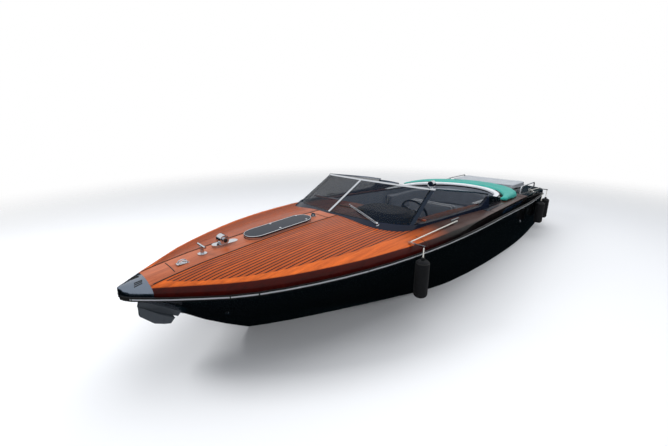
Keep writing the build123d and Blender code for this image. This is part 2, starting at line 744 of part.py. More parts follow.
# Engine and its beds
with BuildPart() as engine_beds:
    for side in (-1, 1):
        add(box_between((ENGINE_AFT_X, side * 260 - 40, -500), (ENGINE_FRONT_X, side * 260 + 40, ENGINE_LOW_Z)))
    add(lining, mode=Mode.INTERSECT)
finish(engine_beds, "engine_beds")
with BuildPart() as engine_block:
    add(box_between((ENGINE_AFT_X + 40, -330, ENGINE_LOW_Z), (ENGINE_FRONT_X - 40, 330, ENGINE_TOP_Z)))
    chamfer(engine_block.edges().filter_by(Axis.X), 60)
finish(engine_block, "engine_block")

def on_deck(x, y):
    """Height of the deck under a fitting, measured on the form itself."""
    hits = envelope.find_intersection_points(Axis((x, y, 2000), (0, 0, -1)))
    return max(point.Z for point, normal in hits)


# Skylight, lying along the slope of the deck
sky_middle = (SKY_FRONT_X + SKY_REAR_X) / 2
sky_length = SKY_FRONT_X - SKY_REAR_X
sky_slope = Vector(SKY_FRONT_X - SKY_REAR_X, 0, on_deck(SKY_FRONT_X, 0) - on_deck(SKY_REAR_X, 0)).normalized()
sky_plane = Plane(origin=(sky_middle, 0, on_deck(sky_middle, 0)), x_dir=sky_slope, z_dir=sky_slope.cross(Vector(0, 1, 0)))
with BuildPart() as skylight_frame:
    with BuildSketch(sky_plane.offset(-SKY_FRAME_DEEP)):
        SlotOverall(sky_length - 9, SKY_WIDTH - 2)
        SlotOverall(sky_length - 2 * SKY_FRAME, SKY_WIDTH - 2 * SKY_FRAME, mode=Mode.SUBTRACT)
    extrude(amount=SKY_FRAME_DEEP + SKY_FRAME_PROUD)
finish(skylight_frame, "skylight_frame")
with BuildPart() as skylight_lid:
    with BuildSketch(sky_plane.offset(SKY_FRAME_PROUD + SEAM_GAP)):
        SlotOverall(sky_length, SKY_WIDTH)
    extrude(amount=SKY_LID_THICK)
    chamfer(skylight_lid.faces().sort_by(Axis.Z)[-1].edges(), 4)
finish(skylight_lid, "skylight_lid")


# Deck fittings
with BuildPart() as cleats:
    for x, inboard, length in CLEATS:
        for side in (-1, 1):
            y = side * (station(x, "rub_y") - inboard)
            z = on_deck(x, y)
            with BuildSketch(Plane.XY.offset(z - 20)):
                with Locations((x, y)):
                    SlotOverall(length * 0.6, 44)
            extrude(amount=26)
            with BuildSketch(Plane.XY.offset(z)):
                with Locations((x - length * 0.14, y), (x + length * 0.14, y)):
                    Circle(9)
            extrude(amount=36)
            with BuildSketch(Plane.XY.offset(z + 32)):
                with Locations((x, y)):
                    SlotOverall(length, 24)
            extrude(amount=14)
    add(envelope, mode=Mode.SUBTRACT)
finish(cleats, "cleats")

with BuildPart() as bollard:
    z = on_deck(BOLLARD_X, 0)
    with BuildSketch(Plane.XY.offset(z - 20)):
        with Locations((BOLLARD_X, 0)):
            Circle(42)
    extrude(amount=28)
    with BuildSketch(Plane.XY.offset(z)):
        with Locations((BOLLARD_X, 0)):
            Circle(17)
    extrude(amount=78)
    with BuildSketch(Plane.XZ.offset(-80)):
        with Locations((BOLLARD_X, z + 80)):
            Circle(11)
    extrude(amount=160)
    add(envelope, mode=Mode.SUBTRACT)
finish(bollard, "bollard")

with BuildPart() as windlass:
    z = on_deck(WINDLASS_X, WINDLASS_Y)
    with BuildSketch(Plane.XY.offset(z - 30)):
        with Locations((WINDLASS_X, WINDLASS_Y)):
            SlotOverall(260, 96)
    extrude(amount=44)
    with BuildSketch(Plane.XZ.offset(-WINDLASS_Y - 46)):
        with Locations((WINDLASS_X + 20, z + 52)):
            Circle(46)
    extrude(amount=92)
    with BuildSketch(Plane.XZ.offset(-WINDLASS_Y - 66)):
        with Locations((WINDLASS_X + 20, z + 52)):
            Circle(26)
    extrude(amount=132)
    add(envelope, mode=Mode.SUBTRACT)
finish(windlass, "windlass")

with BuildPart() as deck_light:
    z = on_deck(DECK_LIGHT_X, 0)
    with BuildSketch(Plane.XY.offset(z - 20)):
        with Locations((DECK_LIGHT_X, 0)):
            Circle(34)
    extrude(amount=30)
    with BuildSketch(Plane.XY.offset(z + 10)):
        with Locations((DECK_LIGHT_X, 0)):
            Circle(29)
    extrude(amount=24, taper=12)
    add(envelope, mode=Mode.SUBTRACT)
finish(deck_light, "deck_light")

# Windscreen fittings
with BuildPart() as struts:
    add(side_strip(MULLION_LOW, MULLION_HIGH))
    add(box_between((0, -MULLION_WIDTH / 2, 900), (3000, MULLION_WIDTH / 2, 1600)))
with BuildPart() as windscreen_mullions:
    add(wrap(RAIL_THICK + 4))
    add(side_strip(shifted(BASE_LINE, SEAM_GAP), shifted(TOP_LINE, -SEAM_GAP)), mode=Mode.INTERSECT)
    add(glass_wall, mode=Mode.SUBTRACT)
    add(struts.part, mode=Mode.INTERSECT)
finish(windscreen_mullions, "windscreen_mullions")

with BuildPart() as searchlight:
    with BuildSketch(Plane.XY.offset(LAMP_Z - 60)):
        with Locations((LAMP_X, LAMP_Y)):
            Circle(10)
    extrude(amount=50)
    with BuildSketch(Plane.YZ.offset(LAMP_X - 35)):
        with Locations((LAMP_Y, LAMP_Z + 25)):
            Circle(40)
    extrude(amount=80)
    chamfer(searchlight.edges().group_by(Axis.X)[0], 22)
    add(rail_wall, mode=Mode.SUBTRACT)
finish(searchlight, "searchlight")

# Stern: platform, drive, rails
with BuildPart() as swim_platform:
    with BuildSketch(Plane.XY.offset(PLATFORM_Z - PLATFORM_THICK)):
        with BuildLine():
            Polyline((TRANSOM_X - SEAM_GAP, PLATFORM_HALF), (PLATFORM_AFT_X + 120, PLATFORM_HALF - 60))
            ThreePointArc((PLATFORM_AFT_X + 120, PLATFORM_HALF - 60), (PLATFORM_AFT_X, 0),
                          (PLATFORM_AFT_X + 120, 60 - PLATFORM_HALF))
            Polyline((PLATFORM_AFT_X + 120, 60 - PLATFORM_HALF), (TRANSOM_X - SEAM_GAP, -PLATFORM_HALF),
                     (TRANSOM_X - SEAM_GAP, PLATFORM_HALF))
        make_face()
    extrude(amount=PLATFORM_THICK)
    for side in (-1, 1):
        with BuildSketch(Plane.XZ.offset(side * 520 - 12)):
            with BuildLine():
                Polyline((TRANSOM_X - SEAM_GAP, PLATFORM_Z - PLATFORM_THICK), (TRANSOM_X - SEAM_GAP, 60),
                         (TRANSOM_X - 330, PLATFORM_Z - PLATFORM_THICK), (TRANSOM_X - SEAM_GAP, PLATFORM_Z - PLATFORM_THICK))
            make_face()
        extrude(amount=24)
finish(swim_platform, "swim_platform")

with BuildPart() as drive_housing:
    add(box_between((TRANSOM_X - 60, -150, -340), (TRANSOM_X - SEAM_GAP, 150, 90)))
    for low, high in ((LUG_TOP_Z, LUG_TOP_Z + 30), (LUG_LOW_Z - 30, LUG_LOW_Z)):
        with BuildSketch(Plane.XY.offset(low)):
            with Locations(((TRANSOM_X - 60 + STEER_X) / 2, 0)):
                Rectangle(TRANSOM_X - 60 - STEER_X, 70)
            with Locations((STEER_X, 0)):
                Circle(35)
        extrude(amount=high - low)
finish(drive_housing, "drive_housing")

with BuildPart() as drive_yoke:
    with BuildSketch(Plane.XY.offset(LUG_LOW_Z + YOKE_GAP)):
        with Locations((STEER_X, 0)):
            Circle(YOKE_RADIUS)
    extrude(amount=LUG_TOP_Z - LUG_LOW_Z - 2 * YOKE_GAP)
    add(box_between((TILT_X - 20, -110, DRIVE_Z - 24), (STEER_X, 110, DRIVE_Z + 24)))
    add(box_between((TILT_X - 60, -92, DRIVE_Z - 60), (STEER_X - YOKE_RADIUS - 4, 92, DRIVE_Z + 60)), mode=Mode.SUBTRACT)
    for side in (-1, 1):
        with BuildSketch(Plane.XZ.offset(side * 101 - 9)):
            with Locations((TILT_X, DRIVE_Z)):
                Circle(34)
        extrude(amount=18)
finish(drive_yoke, "drive_yoke")

with BuildPart() as drive_leg:
    with BuildSketch(Plane.XZ.offset(-86)):
        with Locations((TILT_X, DRIVE_Z)):
            Circle(38)
    extrude(amount=172)
    with BuildSketch(Plane.XZ.offset(-92 + SEAM_GAP)):
        with Locations((TILT_X, DRIVE_Z)):
            Circle(18)
    extrude(amount=184 - 2 * SEAM_GAP)
    with BuildSketch(Plane.YZ.offset(PROP_X + 12)):
        with Locations((0, PROP_Z)):
            Circle(SHAFT_RADIUS)
    extrude(amount=-96)
    with BuildSketch(Plane.XZ.offset(-48)):
        with BuildLine():
            Polyline((TILT_X + 26, DRIVE_Z - 28), (TILT_X - 10, DRIVE_Z + 38), (TILT_X - 200, DRIVE_Z + 20),
                     (TILT_X - 165, PROP_Z + 215), (TILT_X - 165, PROP_Z + 30), (TILT_X - 30, PROP_Z + 30), (TILT_X + 26, DRIVE_Z - 28))
        make_face()
    extrude(amount=96)
    with BuildSketch(Plane.XY.offset(PROP_Z + 205)):
        with Locations((TILT_X - 130, 0)):
            SlotOverall(280, 180)
    extrude(amount=12)
    with BuildSketch(Plane.XZ):
        with BuildLine():
            Line((TILT_X + 20, PROP_Z), (TILT_X - 40, PROP_Z + 52))
            Line((TILT_X - 40, PROP_Z + 52), (PROP_X + 8, PROP_Z + 46))
            Line((PROP_X + 8, PROP_Z + 46), (PROP_X + 8, PROP_Z))
            Line((PROP_X + 8, PROP_Z), (TILT_X + 20, PROP_Z))
        make_face()
    revolve(axis=Axis((0, 0, PROP_Z), (1, 0, 0)))
    with BuildSketch(Plane.XZ.offset(-6)):
        with BuildLine():
            Polyline((TILT_X - 30, PROP_Z - 30), (TILT_X - 150, PROP_Z - 30), (TILT_X - 160, PROP_Z - 190),
                     (TILT_X - 100, PROP_Z - 180), (TILT_X - 30, PROP_Z - 30))
        make_face()
    extrude(amount=12)
finish(drive_leg, "drive_leg")

with BuildPart() as propeller:
    with BuildSketch(Plane.YZ.offset(PROP_X)):
        with Locations((0, PROP_Z)):
            Circle(44)
    extrude(amount=-96, taper=6)
    for turn in range(4):
        blade = Plane(origin=(PROP_X - 36, 0, PROP_Z), x_dir=(0, 1, 0), z_dir=(0, 0, 1)).rotated((turn * 90, 0, 0))
        for reach, angle, thick, wide in BLADE_ROWS:
            with BuildSketch(blade.offset(reach)):
                with Locations(Rotation(0, 0, angle)):
                    Rectangle(thick, wide)
        loft()
    with BuildSketch(Plane.YZ.offset(PROP_X + 20)):
        with Locations((0, PROP_Z)):
            Circle(SHAFT_RADIUS + SEAM_GAP)
    extrude(amount=-108, mode=Mode.SUBTRACT)
finish(propeller, "propeller")

with BuildPart() as stern_rails:
    for side in (-1, 1):
        y = side * RAIL_Y
        z = on_deck(RAIL_FRONT_X, y)
        with BuildLine() as rail_path:
            FilletPolyline((RAIL_FRONT_X, y, z - 20), (RAIL_FRONT_X - 20, y, z + RAIL_RISE),
                           (RAIL_AFT_X + 20, y, z + RAIL_RISE), (RAIL_AFT_X, y, z - 60), radius=50)
        with BuildSketch(Plane(origin=rail_path.wire() @ 0, z_dir=rail_path.wire() % 0)):
            Circle(12)
        sweep(path=rail_path.wire())
    add(envelope, mode=Mode.SUBTRACT)
finish(stern_rails, "stern_rails")

# Fenders on the port side
with BuildPart() as fenders:
    for x, low in FENDERS:
        y = station(x, "rub_y") + RUB_PROUD + FENDER_RADIUS + 2
        with BuildSketch(Plane.XZ.offset(-y)):
            with BuildLine():
                Line((x, low), (x + FENDER_RADIUS - 40, low))
                ThreePointArc((x + FENDER_RADIUS - 40, low), (x + FENDER_RADIUS - 12, low + 12), (x + FENDER_RADIUS, low + 40))
                Line((x + FENDER_RADIUS, low + 40), (x + FENDER_RADIUS, low + FENDER_LENGTH - 40))
                ThreePointArc((x + FENDER_RADIUS, low + FENDER_LENGTH - 40),
                              (x + FENDER_RADIUS - 12, low + FENDER_LENGTH - 12), (x + 20, low + FENDER_LENGTH))
                Line((x + 20, low + FENDER_LENGTH), (x + 20, low + FENDER_LENGTH + 30))
                Line((x + 20, low + FENDER_LENGTH + 30), (x, low + FENDER_LENGTH + 30))
                Line((x, low + FENDER_LENGTH + 30), (x, low))
            make_face()
        revolve(axis=Axis((x, y, 0), (0, 0, 1)))
finish(fenders, "fenders")

# Fender hooks on the deck edge, and the taut lines on them
with BuildPart() as fender_hooks:
    for x, low in FENDERS:
        side, top = station(x, "rub_y"), station(x, "rub_z") + HOOK_RISE
        reach = side + RUB_PROUD + FENDER_RADIUS + 2
        add(box_between((x - 10, side - 90, top - 60), (x + 10, side - 78, top + 8)))
        add(box_between((x - 10, side - 90, top - 4), (x + 10, reach + 12, top + 8)))
    add(envelope, mode=Mode.SUBTRACT)
finish(fender_hooks, "fender_hooks")

with BuildPart() as fender_lines:
    for x, low in FENDERS:
        side, top = station(x, "rub_y"), station(x, "rub_z") + HOOK_RISE
        reach = side + RUB_PROUD + FENDER_RADIUS + 2
        with BuildSketch(Plane.XY.offset(low + FENDER_LENGTH + 30.3)):
            with Locations((x, reach)):
                Circle(LINE_RADIUS)
        extrude(amount=top - 4.3 - low - FENDER_LENGTH - 30.3)
    for hook, cleat in ((0, 0), (1, 1), (2, 1)):
        x, inboard, length = CLEATS[cleat]
        y = station(x, "rub_y") - inboard
        z = on_deck(x, y)
        with BuildSketch(Plane.XY.offset(z + 11)):
            with Locations((x, y)):
                SlotOverall(length * 0.28 + 42, 42)
                SlotOverall(length * 0.28 + 18.6, 18.6, mode=Mode.SUBTRACT)
        extrude(amount=12)
        start = Vector(x, y + 16, z + 17)
        end_x = FENDERS[hook][0]
        end = Vector(end_x, station(end_x, "rub_y") - 60, station(end_x, "rub_z") + HOOK_RISE + 15)
        with BuildSketch(Plane(origin=start, z_dir=end - start)):
            Circle(LINE_RADIUS)
        extrude(amount=(end - start).length)
finish(fender_lines, "fender_lines")

# Exhaust outlets and trim tabs at the transom
with BuildPart() as exhausts:
    for side in (-1, 1):
        with BuildSketch(Plane.YZ.offset(TRANSOM_X - 60)):
            with Locations((side * EXHAUST_Y, EXHAUST_Z)):
                Circle(EXHAUST_RADIUS)
                Circle(EXHAUST_RADIUS - 6, mode=Mode.SUBTRACT)
        extrude(amount=200)
    add(envelope, mode=Mode.SUBTRACT)
finish(exhausts, "exhausts")

with BuildPart() as trim_tabs:
    for side in (-1, 1):
        with BuildSketch(Plane.XZ.offset(-side * TAB_Y - 130)):
            with BuildLine():
                Polyline((TRANSOM_X + 60, TAB_Z), (TRANSOM_X + 60, TAB_Z + 8), (TRANSOM_X - 230, TAB_Z - 6),
                         (TRANSOM_X - 230, TAB_Z - 14), (TRANSOM_X + 60, TAB_Z))
            make_face()
        extrude(amount=260)
        with BuildSketch(Plane.XZ.offset(-side * TAB_Y - 12)):
            with BuildLine():
                Polyline((TRANSOM_X + 60, TAB_Z + 120), (TRANSOM_X + 60, TAB_Z + 160), (TRANSOM_X - 120, TAB_Z),
                         (TRANSOM_X - 150, TAB_Z - 8), (TRANSOM_X - 100, TAB_Z - 8), (TRANSOM_X + 60, TAB_Z + 120))
            make_face()
        extrude(amount=24)
    add(envelope, mode=Mode.SUBTRACT)
finish(trim_tabs, "trim_tabs")

# Dials across the dash to port
with BuildPart() as instruments:
    for y, z, radius in DIALS:
        with BuildSketch(Plane.YZ.offset(DASH_FACE_X - 14)):
            with Locations((y, z)):
                Circle(radius)
        extrude(amount=60)
    add(dashboard.part, mode=Mode.SUBTRACT)
finish(instruments, "instruments")
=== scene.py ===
"""Looks of an open sports runabout: finishes, upholstery, small gear, studio and camera.

Everything is in metres in the boat's own frame: +X forward, +Y to port, +Z up from the waterplane.
"""

from __future__ import annotations

import logging
import math
from contextlib import contextmanager
from dataclasses import dataclass, field
from enum import Enum
from typing import Callable, Iterable, Iterator, Sequence

import bpy
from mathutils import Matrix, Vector


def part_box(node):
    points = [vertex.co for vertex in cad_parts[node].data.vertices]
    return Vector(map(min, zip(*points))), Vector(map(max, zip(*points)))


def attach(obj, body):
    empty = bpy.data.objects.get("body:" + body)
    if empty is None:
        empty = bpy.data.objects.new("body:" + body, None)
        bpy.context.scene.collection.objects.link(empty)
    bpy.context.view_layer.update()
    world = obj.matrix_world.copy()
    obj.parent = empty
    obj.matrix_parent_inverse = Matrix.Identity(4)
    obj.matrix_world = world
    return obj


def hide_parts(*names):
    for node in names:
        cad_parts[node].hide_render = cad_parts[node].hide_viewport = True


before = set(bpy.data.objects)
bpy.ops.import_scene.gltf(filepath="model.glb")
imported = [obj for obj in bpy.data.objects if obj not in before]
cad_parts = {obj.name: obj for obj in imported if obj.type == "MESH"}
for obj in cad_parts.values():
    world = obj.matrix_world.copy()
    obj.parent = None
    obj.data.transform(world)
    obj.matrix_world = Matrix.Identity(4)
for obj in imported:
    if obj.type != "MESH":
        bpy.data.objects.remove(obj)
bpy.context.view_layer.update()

log = logging.getLogger("runabout")
Point = tuple[float, float, float]
Piece = bpy.types.Object
Tree = bpy.types.NodeTree
Socket = bpy.types.NodeSocket
Shader = bpy.types.Node

MM = 0.001
UP: Point = (0.0, 0.0, 1.0)
SIDES = ((1, "port"), (-1, "starboard"))
DECK = ("deck_planking", "covering_boards", "king_plank", "stern_deck", "bow_cap")
# corners of a CAD mesh that lie closer than this are one corner
WELD = 0.0001
# angle in degrees up to which facets of hull, deck and screen base are shaded as one skin
FAIR_ANGLE = 28.0
# rays start this far beside the centreline or above the water, clear of the boat
ABEAM = 1.7
OVERHEAD = 3.0


class Body(Enum):
    """Bodies that carry the pieces made here."""

    BOAT = "boat"
    HATCH = "engine_hatch"
    SKYLIGHT = "skylight_lid"
    WHEEL = "steering_wheel"


# Nodes and finishes


def linear(colour: str) -> tuple[float, float, float, float]:
    """Turn an sRGB hex colour to linear.

    Args:
        colour: Six hex digits with a leading hash.

    Returns:
        Red, green, blue and alpha for a socket.
    """
    parts = [int(colour[i:i + 2], 16) / 255 for i in (1, 3, 5)]
    made = [c / 12.92 if c <= 0.04045 else ((c + 0.055) / 1.055) ** 2.4 for c in parts]
    return (made[0], made[1], made[2], 1.0)


def node(tree: Tree, kind: str, inputs: dict | None = None, **settings: object) -> Shader:
    """Add one shader node with its settings and links.

    Args:
        tree: Node tree of the material.
        kind: Node type without the ShaderNode prefix.
        inputs: Value or output socket for each input, by name or index.
        settings: Properties of the node.

    Returns:
        The new node.
    """
    made = tree.nodes.new("ShaderNode" + kind)
    for name, value in settings.items():
        setattr(made, name, value)
    for name, value in (inputs or {}).items():
        if isinstance(value, Socket):
            tree.links.new(value, made.inputs[name])
        else:
            made.inputs[name].default_value = value
    return made


@dataclass(frozen=True)
class Finish:
    """A surface finish, made into one material the first time it is used."""

    name: str
    colour: str

    def material(self) -> bpy.types.Material:
        """Give the material of this finish, made once.

        Returns:
            The material.
        """
        found = bpy.data.materials.get(self.name)
        if found:
            return found
        made = bpy.data.materials.new(self.name)
        made.use_nodes = True
        tree = made.node_tree
        tree.nodes.clear()
        place = node(tree, "TexCoord").outputs["Object"]
        shader = node(tree, "BsdfPrincipled", {"Base Color": linear(self.colour)})
        self.dress(tree, place, shader)
        node(tree, "OutputMaterial", {"Surface": shader.outputs["BSDF"]})
        return made

    def dress(self, tree: Tree, place: Socket, shader: Shader) -> None:
        """Set the shader's sockets for this finish.

        Args:
            tree: Node tree of the material.
            place: Object coordinates.
            shader: The Principled shader.
        """

    def roughen(self, tree: Tree, place: Socket, shader: Shader,
                low: float, high: float, size_mm: float) -> None:
        """Vary the roughness in soft patches.

        Args:
            tree: Node tree of the material.
            place: Object coordinates.
            shader: The Principled shader.
            low: Lowest roughness.
            high: Highest roughness.
            size_mm: Size of a patch.
        """
        patches = node(tree, "TexNoise", {"Vector": place, "Scale": 1000 / size_mm, "Detail": 3.0})
        spread = node(tree, "MapRange", {"Value": patches.outputs["Fac"], "From Min": 0.3, "From Max": 0.7,
                                         "To Min": low, "To Max": high})
        tree.links.new(spread.outputs["Result"], shader.inputs["Roughness"])

    def shade(self, tree: Tree, shader: Shader, pattern: Socket, span: tuple[float, float],
              tones: tuple[float, float]) -> None:
        """Lighten and darken the colour with a pattern.

        Args:
            tree: Node tree of the material.
            shader: The Principled shader.
            pattern: The pattern's value.
            span: Values of the pattern where the tones begin and end.
            tones: What the colour is multiplied by at each of them.
        """
        tone = node(tree, "MapRange", {"Value": pattern, "From Min": span[0], "From Max": span[1],
                                       "To Min": tones[0], "To Max": tones[1]})
        made = node(tree, "Mix", {"Factor": 1.0, "A": linear(self.colour), "B": tone.outputs["Result"]},
                    data_type="RGBA", blend_type="MULTIPLY")
        tree.links.new(made.outputs["Result"], shader.inputs["Base Color"])


@dataclass(frozen=True)
class VarnishedMahogany(Finish):
    """Mahogany, planed, sanded and varnished: straight pores under a deep clear coat."""

    deep: str = "#4A1405"
    plank_mm: float = 0.0
    unbroken_mm: float = 5000.0
    # the seams are drawn wider than the real caulking: the dark band is caulk and painted shade along each
    # seam
    seam_and_shade_mm: float = 11.0
    seam_blur: float = 0.03
    first_seam_mm: float = 165.0
    play: float = 0.12
    caulk: str = "#160C08"
    along_grain: float = 1.3
    across_grain: float = 34.0
    pore_scale: float = 9.0
    ribbon_mm: float = 60.0
    narrow: str = ""
    # painted reflection: side darkens the rolled edge's colour, for the dark water that it reflects
    side: str = ""
    # painted shade and painted reflection: aft darkens the boards round the cockpit
    aft: str = ""
    margin: tuple[tuple[float, float], ...] = ()
    coat: float = 0.16
    rolled_coat: tuple[float, float] = (0.14, 0.06)
    flat_above: float = 0.95
    rolled_below: float = 0.85
    rough: tuple[float, float] = (0.3, 0.4)
    rough_mm: float = 300.0
    shine: float = 0.12
    relief: float = 0.16
    pore_depth_mm: float = 1.2

    def dress(self, tree: Tree, place: Socket, shader: Shader) -> None:
        """Draw grain along X, a tone for each plank, and dark seams between planks.

        Args:
            tree: Node tree of the material.
            place: Object coordinates.
            shader: The Principled shader.
        """
        split = node(tree, "SeparateXYZ", {"Vector": place})
        across = node(tree, "Math", {0: split.outputs["Y"]}, operation="ABSOLUTE").outputs[0]
        pitch = (self.plank_mm or self.unbroken_mm) * MM
        counted = node(tree, "Math", {0: across, 1: self.first_seam_mm * MM}, operation="SUBTRACT").outputs[0]
        counted = node(tree, "Math", {0: counted, 1: pitch}, operation="DIVIDE").outputs[0]
        wood, pores = self.grain(tree, place, split.outputs["Y"], counted)
        height = node(tree, "MapRange", {"Value": pores, "To Min": 0.0, "To Max": 0.15}).outputs["Result"]
        if self.plank_mm:
            seam = self.seams(tree, counted)
            if self.margin:
                inside = self.inside_margin(tree, split.outputs["X"], across)
                seam = node(tree, "Math", {0: seam, 1: inside}, operation="MULTIPLY").outputs[0]
                # the narrow planks are a shade darker than the margin board round them
                wood = node(tree, "Mix", {"Factor": inside, "A": wood, "B": linear(self.narrow)},
                            data_type="RGBA", blend_type="MULTIPLY").outputs["Result"]
            wood = node(tree, "Mix", {"Factor": seam, "A": wood, "B": linear(self.caulk)},
                        data_type="RGBA").outputs["Result"]
            height = node(tree, "Math", {0: height, 1: seam}, operation="SUBTRACT").outputs[0]
        if self.side:
            # painted reflection: the rolled edge is multiplied darker and redder than the flat of the deck,
            # for the dark water it reflects, and it is less glossy
            normal = node(tree, "NewGeometry").outputs["Normal"]
            facing = node(tree, "SeparateXYZ", {"Vector": normal}).outputs["Z"]
            rolled = node(tree, "MapRange", {"Value": facing, "From Min": self.flat_above,
                                             "From Max": self.rolled_below}).outputs["Result"]
            wood = node(tree, "Mix", {"Factor": rolled, "A": wood, "B": linear(self.side)},
                        data_type="RGBA", blend_type="MULTIPLY").outputs["Result"]
            varnish = node(tree, "MapRange", {"Value": rolled, "To Min": self.rolled_coat[0],
                                              "To Max": self.rolled_coat[1]})
            tree.links.new(varnish.outputs["Result"], shader.inputs["Coat Weight"])
        else:
            shader.inputs["Coat Weight"].default_value = self.coat
        if self.aft:
            # painted shade and painted reflection: beside the cockpit and behind it the boards are multiplied
            # darker and purple-brown, for the shade and dark sky there
            share = self.painted_shade_round_cockpit(tree, split.outputs["X"], across)
            wood = node(tree, "Mix", {"Factor": share, "A": wood, "B": linear(self.aft)},
                        data_type="RGBA", blend_type="MULTIPLY").outputs["Result"]
        tree.links.new(wood, shader.inputs["Base Color"])
        bump = node(tree, "Bump", {"Height": height, "Strength": self.relief,
                                   "Distance": self.pore_depth_mm * MM})
        tree.links.new(bump.outputs["Normal"], shader.inputs["Normal"])
        self.roughen(tree, place, shader, *self.rough, self.rough_mm)
        shader.inputs["Specular IOR Level"].default_value = self.shine
        shader.inputs["Coat Roughness"].default_value = 0.08
        shader.inputs["IOR"].default_value = 1.5

    def grain(self, tree: Tree, place: Socket, sideways: Socket, counted: Socket) -> tuple[Socket, Socket]:
        """Draw the wood itself, each plank with a tone and a stretch of grain of its own.

        Args:
            tree: Node tree of the material.
            place: Object coordinates.
            sideways: Place across the boat, negative to starboard.
            counted: Planks between the first seam and the place.

        Returns:
            Colour of the wood, and the pattern of its pores.
        """
        number = node(tree, "Math", {0: counted}, operation="FLOOR").outputs[0]
        side = node(tree, "Math", {0: sideways}, operation="SIGN").outputs[0]
        mark = node(tree, "CombineXYZ", {"X": number, "Y": side})
        tone = node(tree, "TexWhiteNoise", {"Vector": mark.outputs[0]},
                    noise_dimensions="3D").outputs["Value"]
        shift = node(tree, "Math", {0: tone, 1: 7.0}, operation="MULTIPLY").outputs[0]
        # pores run along X and are drawn about 3 mm wide, coarser than the real 0.3 mm, so that they show
        stretch = (self.along_grain, self.across_grain, self.across_grain)
        stretched = node(tree, "Mapping", {"Vector": place, "Scale": stretch}).outputs[0]
        moved = node(tree, "VectorMath", {0: stretched, 1: node(tree, "CombineXYZ", {"X": shift}).outputs[0]},
                     operation="ADD").outputs[0]
        pores = node(tree, "TexNoise", {"Vector": moved, "Scale": self.pore_scale, "Detail": 6.0,
                                        "Roughness": 0.65}).outputs["Fac"]
        bands = node(tree, "TexNoise", {"Vector": moved, "Scale": 1.4, "Detail": 2.0,
                                        "Distortion": 0.6}).outputs["Fac"]
        played = node(tree, "Math", {0: tone, 1: self.play}, operation="MULTIPLY").outputs[0]
        blend = node(tree, "Math", {0: pores, 1: bands, 2: played}, operation="MULTIPLY_ADD").outputs[0]
        share = node(tree, "MapRange", {"Value": blend, "From Min": 0.12, "From Max": 0.62}).outputs["Result"]
        wood = node(tree, "Mix", {"Factor": share, "A": linear(self.colour), "B": linear(self.deep)},
                    data_type="RGBA").outputs["Result"]
        # the ribbon figure: slow lighter and darker bars across the grain, as in quarter-sawn mahogany
        ribbon = node(tree, "TexNoise", {"Vector": moved, "Scale": 1000 / self.ribbon_mm / self.across_grain,
                                         "Detail": 1.0})
        lift = node(tree, "MapRange", {"Value": ribbon.outputs["Fac"], "From Min": 0.35, "From Max": 0.65,
                                       "To Min": 0.86, "To Max": 1.1}).outputs["Result"]
        wood = node(tree, "Mix", {"Factor": 1.0, "A": wood, "B": lift},
                    data_type="RGBA", blend_type="MULTIPLY").outputs["Result"]
        return wood, pores

    def seams(self, tree: Tree, counted: Socket) -> Socket:
        """Find the seams between planks.

        Args:
            tree: Node tree of the material.
            counted: Planks between the first seam and the place.

        Returns:
            1 in a seam, 0 on a plank.
        """
        part = node(tree, "Math", {0: counted}, operation="FRACT").outputs[0]
        middle = node(tree, "Math", {0: part, 1: 0.5}, operation="SUBTRACT").outputs[0]
        middle = node(tree, "Math", {0: middle}, operation="ABSOLUTE").outputs[0]
        edge = 0.5 - self.seam_and_shade_mm / self.plank_mm / 2
        seam = node(tree, "MapRange", {"Value": middle, "From Min": edge - self.seam_blur,
                                       "From Max": edge + self.seam_blur})
        return seam.outputs["Result"]

    def painted_shade_round_cockpit(self, tree: Tree, along: Socket, across: Socket) -> Socket:
        """Find the boards that lie beside the cockpit or behind it, where painted shade and painted
        reflection darken them.

        Args:
            tree: Node tree of the material.
            along: Place along the boat.
            across: Distance from the centreline.

        Returns:
            1 on those boards, 0 on the foredeck.
        """
        back = node(tree, "MapRange", {"Value": along, "From Min": 1.85, "From Max": 1.05}).outputs["Result"]
        wide = node(tree, "MapRange", {"Value": across, "From Min": 0.62, "From Max": 0.95}).outputs["Result"]
        aft = node(tree, "MapRange", {"Value": along, "From Min": -0.6, "From Max": -1.1}).outputs["Result"]
        outer = node(tree, "Math", {0: wide, 1: aft}, operation="MAXIMUM").outputs[0]
        return node(tree, "Math", {0: back, 1: outer}, operation="MULTIPLY").outputs[0]

    def inside_margin(self, tree: Tree, along: Socket,
                      across: Socket) -> Socket:
        """Tell the planked field from the margin board outside it.

        Args:
            tree: Node tree of the material.
            along: Place along the boat.
            across: Distance from the centreline.

        Returns:
            1 inside the margin, 0 outside.
        """
        first, last = self.margin[0][0], self.margin[-1][0]
        share = node(tree, "MapRange", {"Value": along, "From Min": first, "From Max": last})
        curve = node(tree, "FloatCurve", {"Value": share.outputs["Result"]})
        points = curve.mapping.curves[0].points
        for x, half in self.margin[1:-1]:
            points.new((x - first) / (last - first), half)
        points[0].location = (0.0, self.margin[0][1])
        points[len(points) - 1].location = (1.0, self.margin[-1][1])
        curve.mapping.update()
        inward = node(tree, "Math", {0: curve.outputs["Value"], 1: across}, operation="SUBTRACT").outputs[0]
        inner = node(tree, "MapRange", {"Value": inward, "From Min": 0.0, "From Max": 0.004})
        ahead = node(tree, "MapRange", {"Value": along, "From Min": first, "From Max": first + 0.01})
        return node(tree, "Math", {0: inner.outputs["Result"], 1: ahead.outputs["Result"]},
                    operation="MULTIPLY").outputs[0]


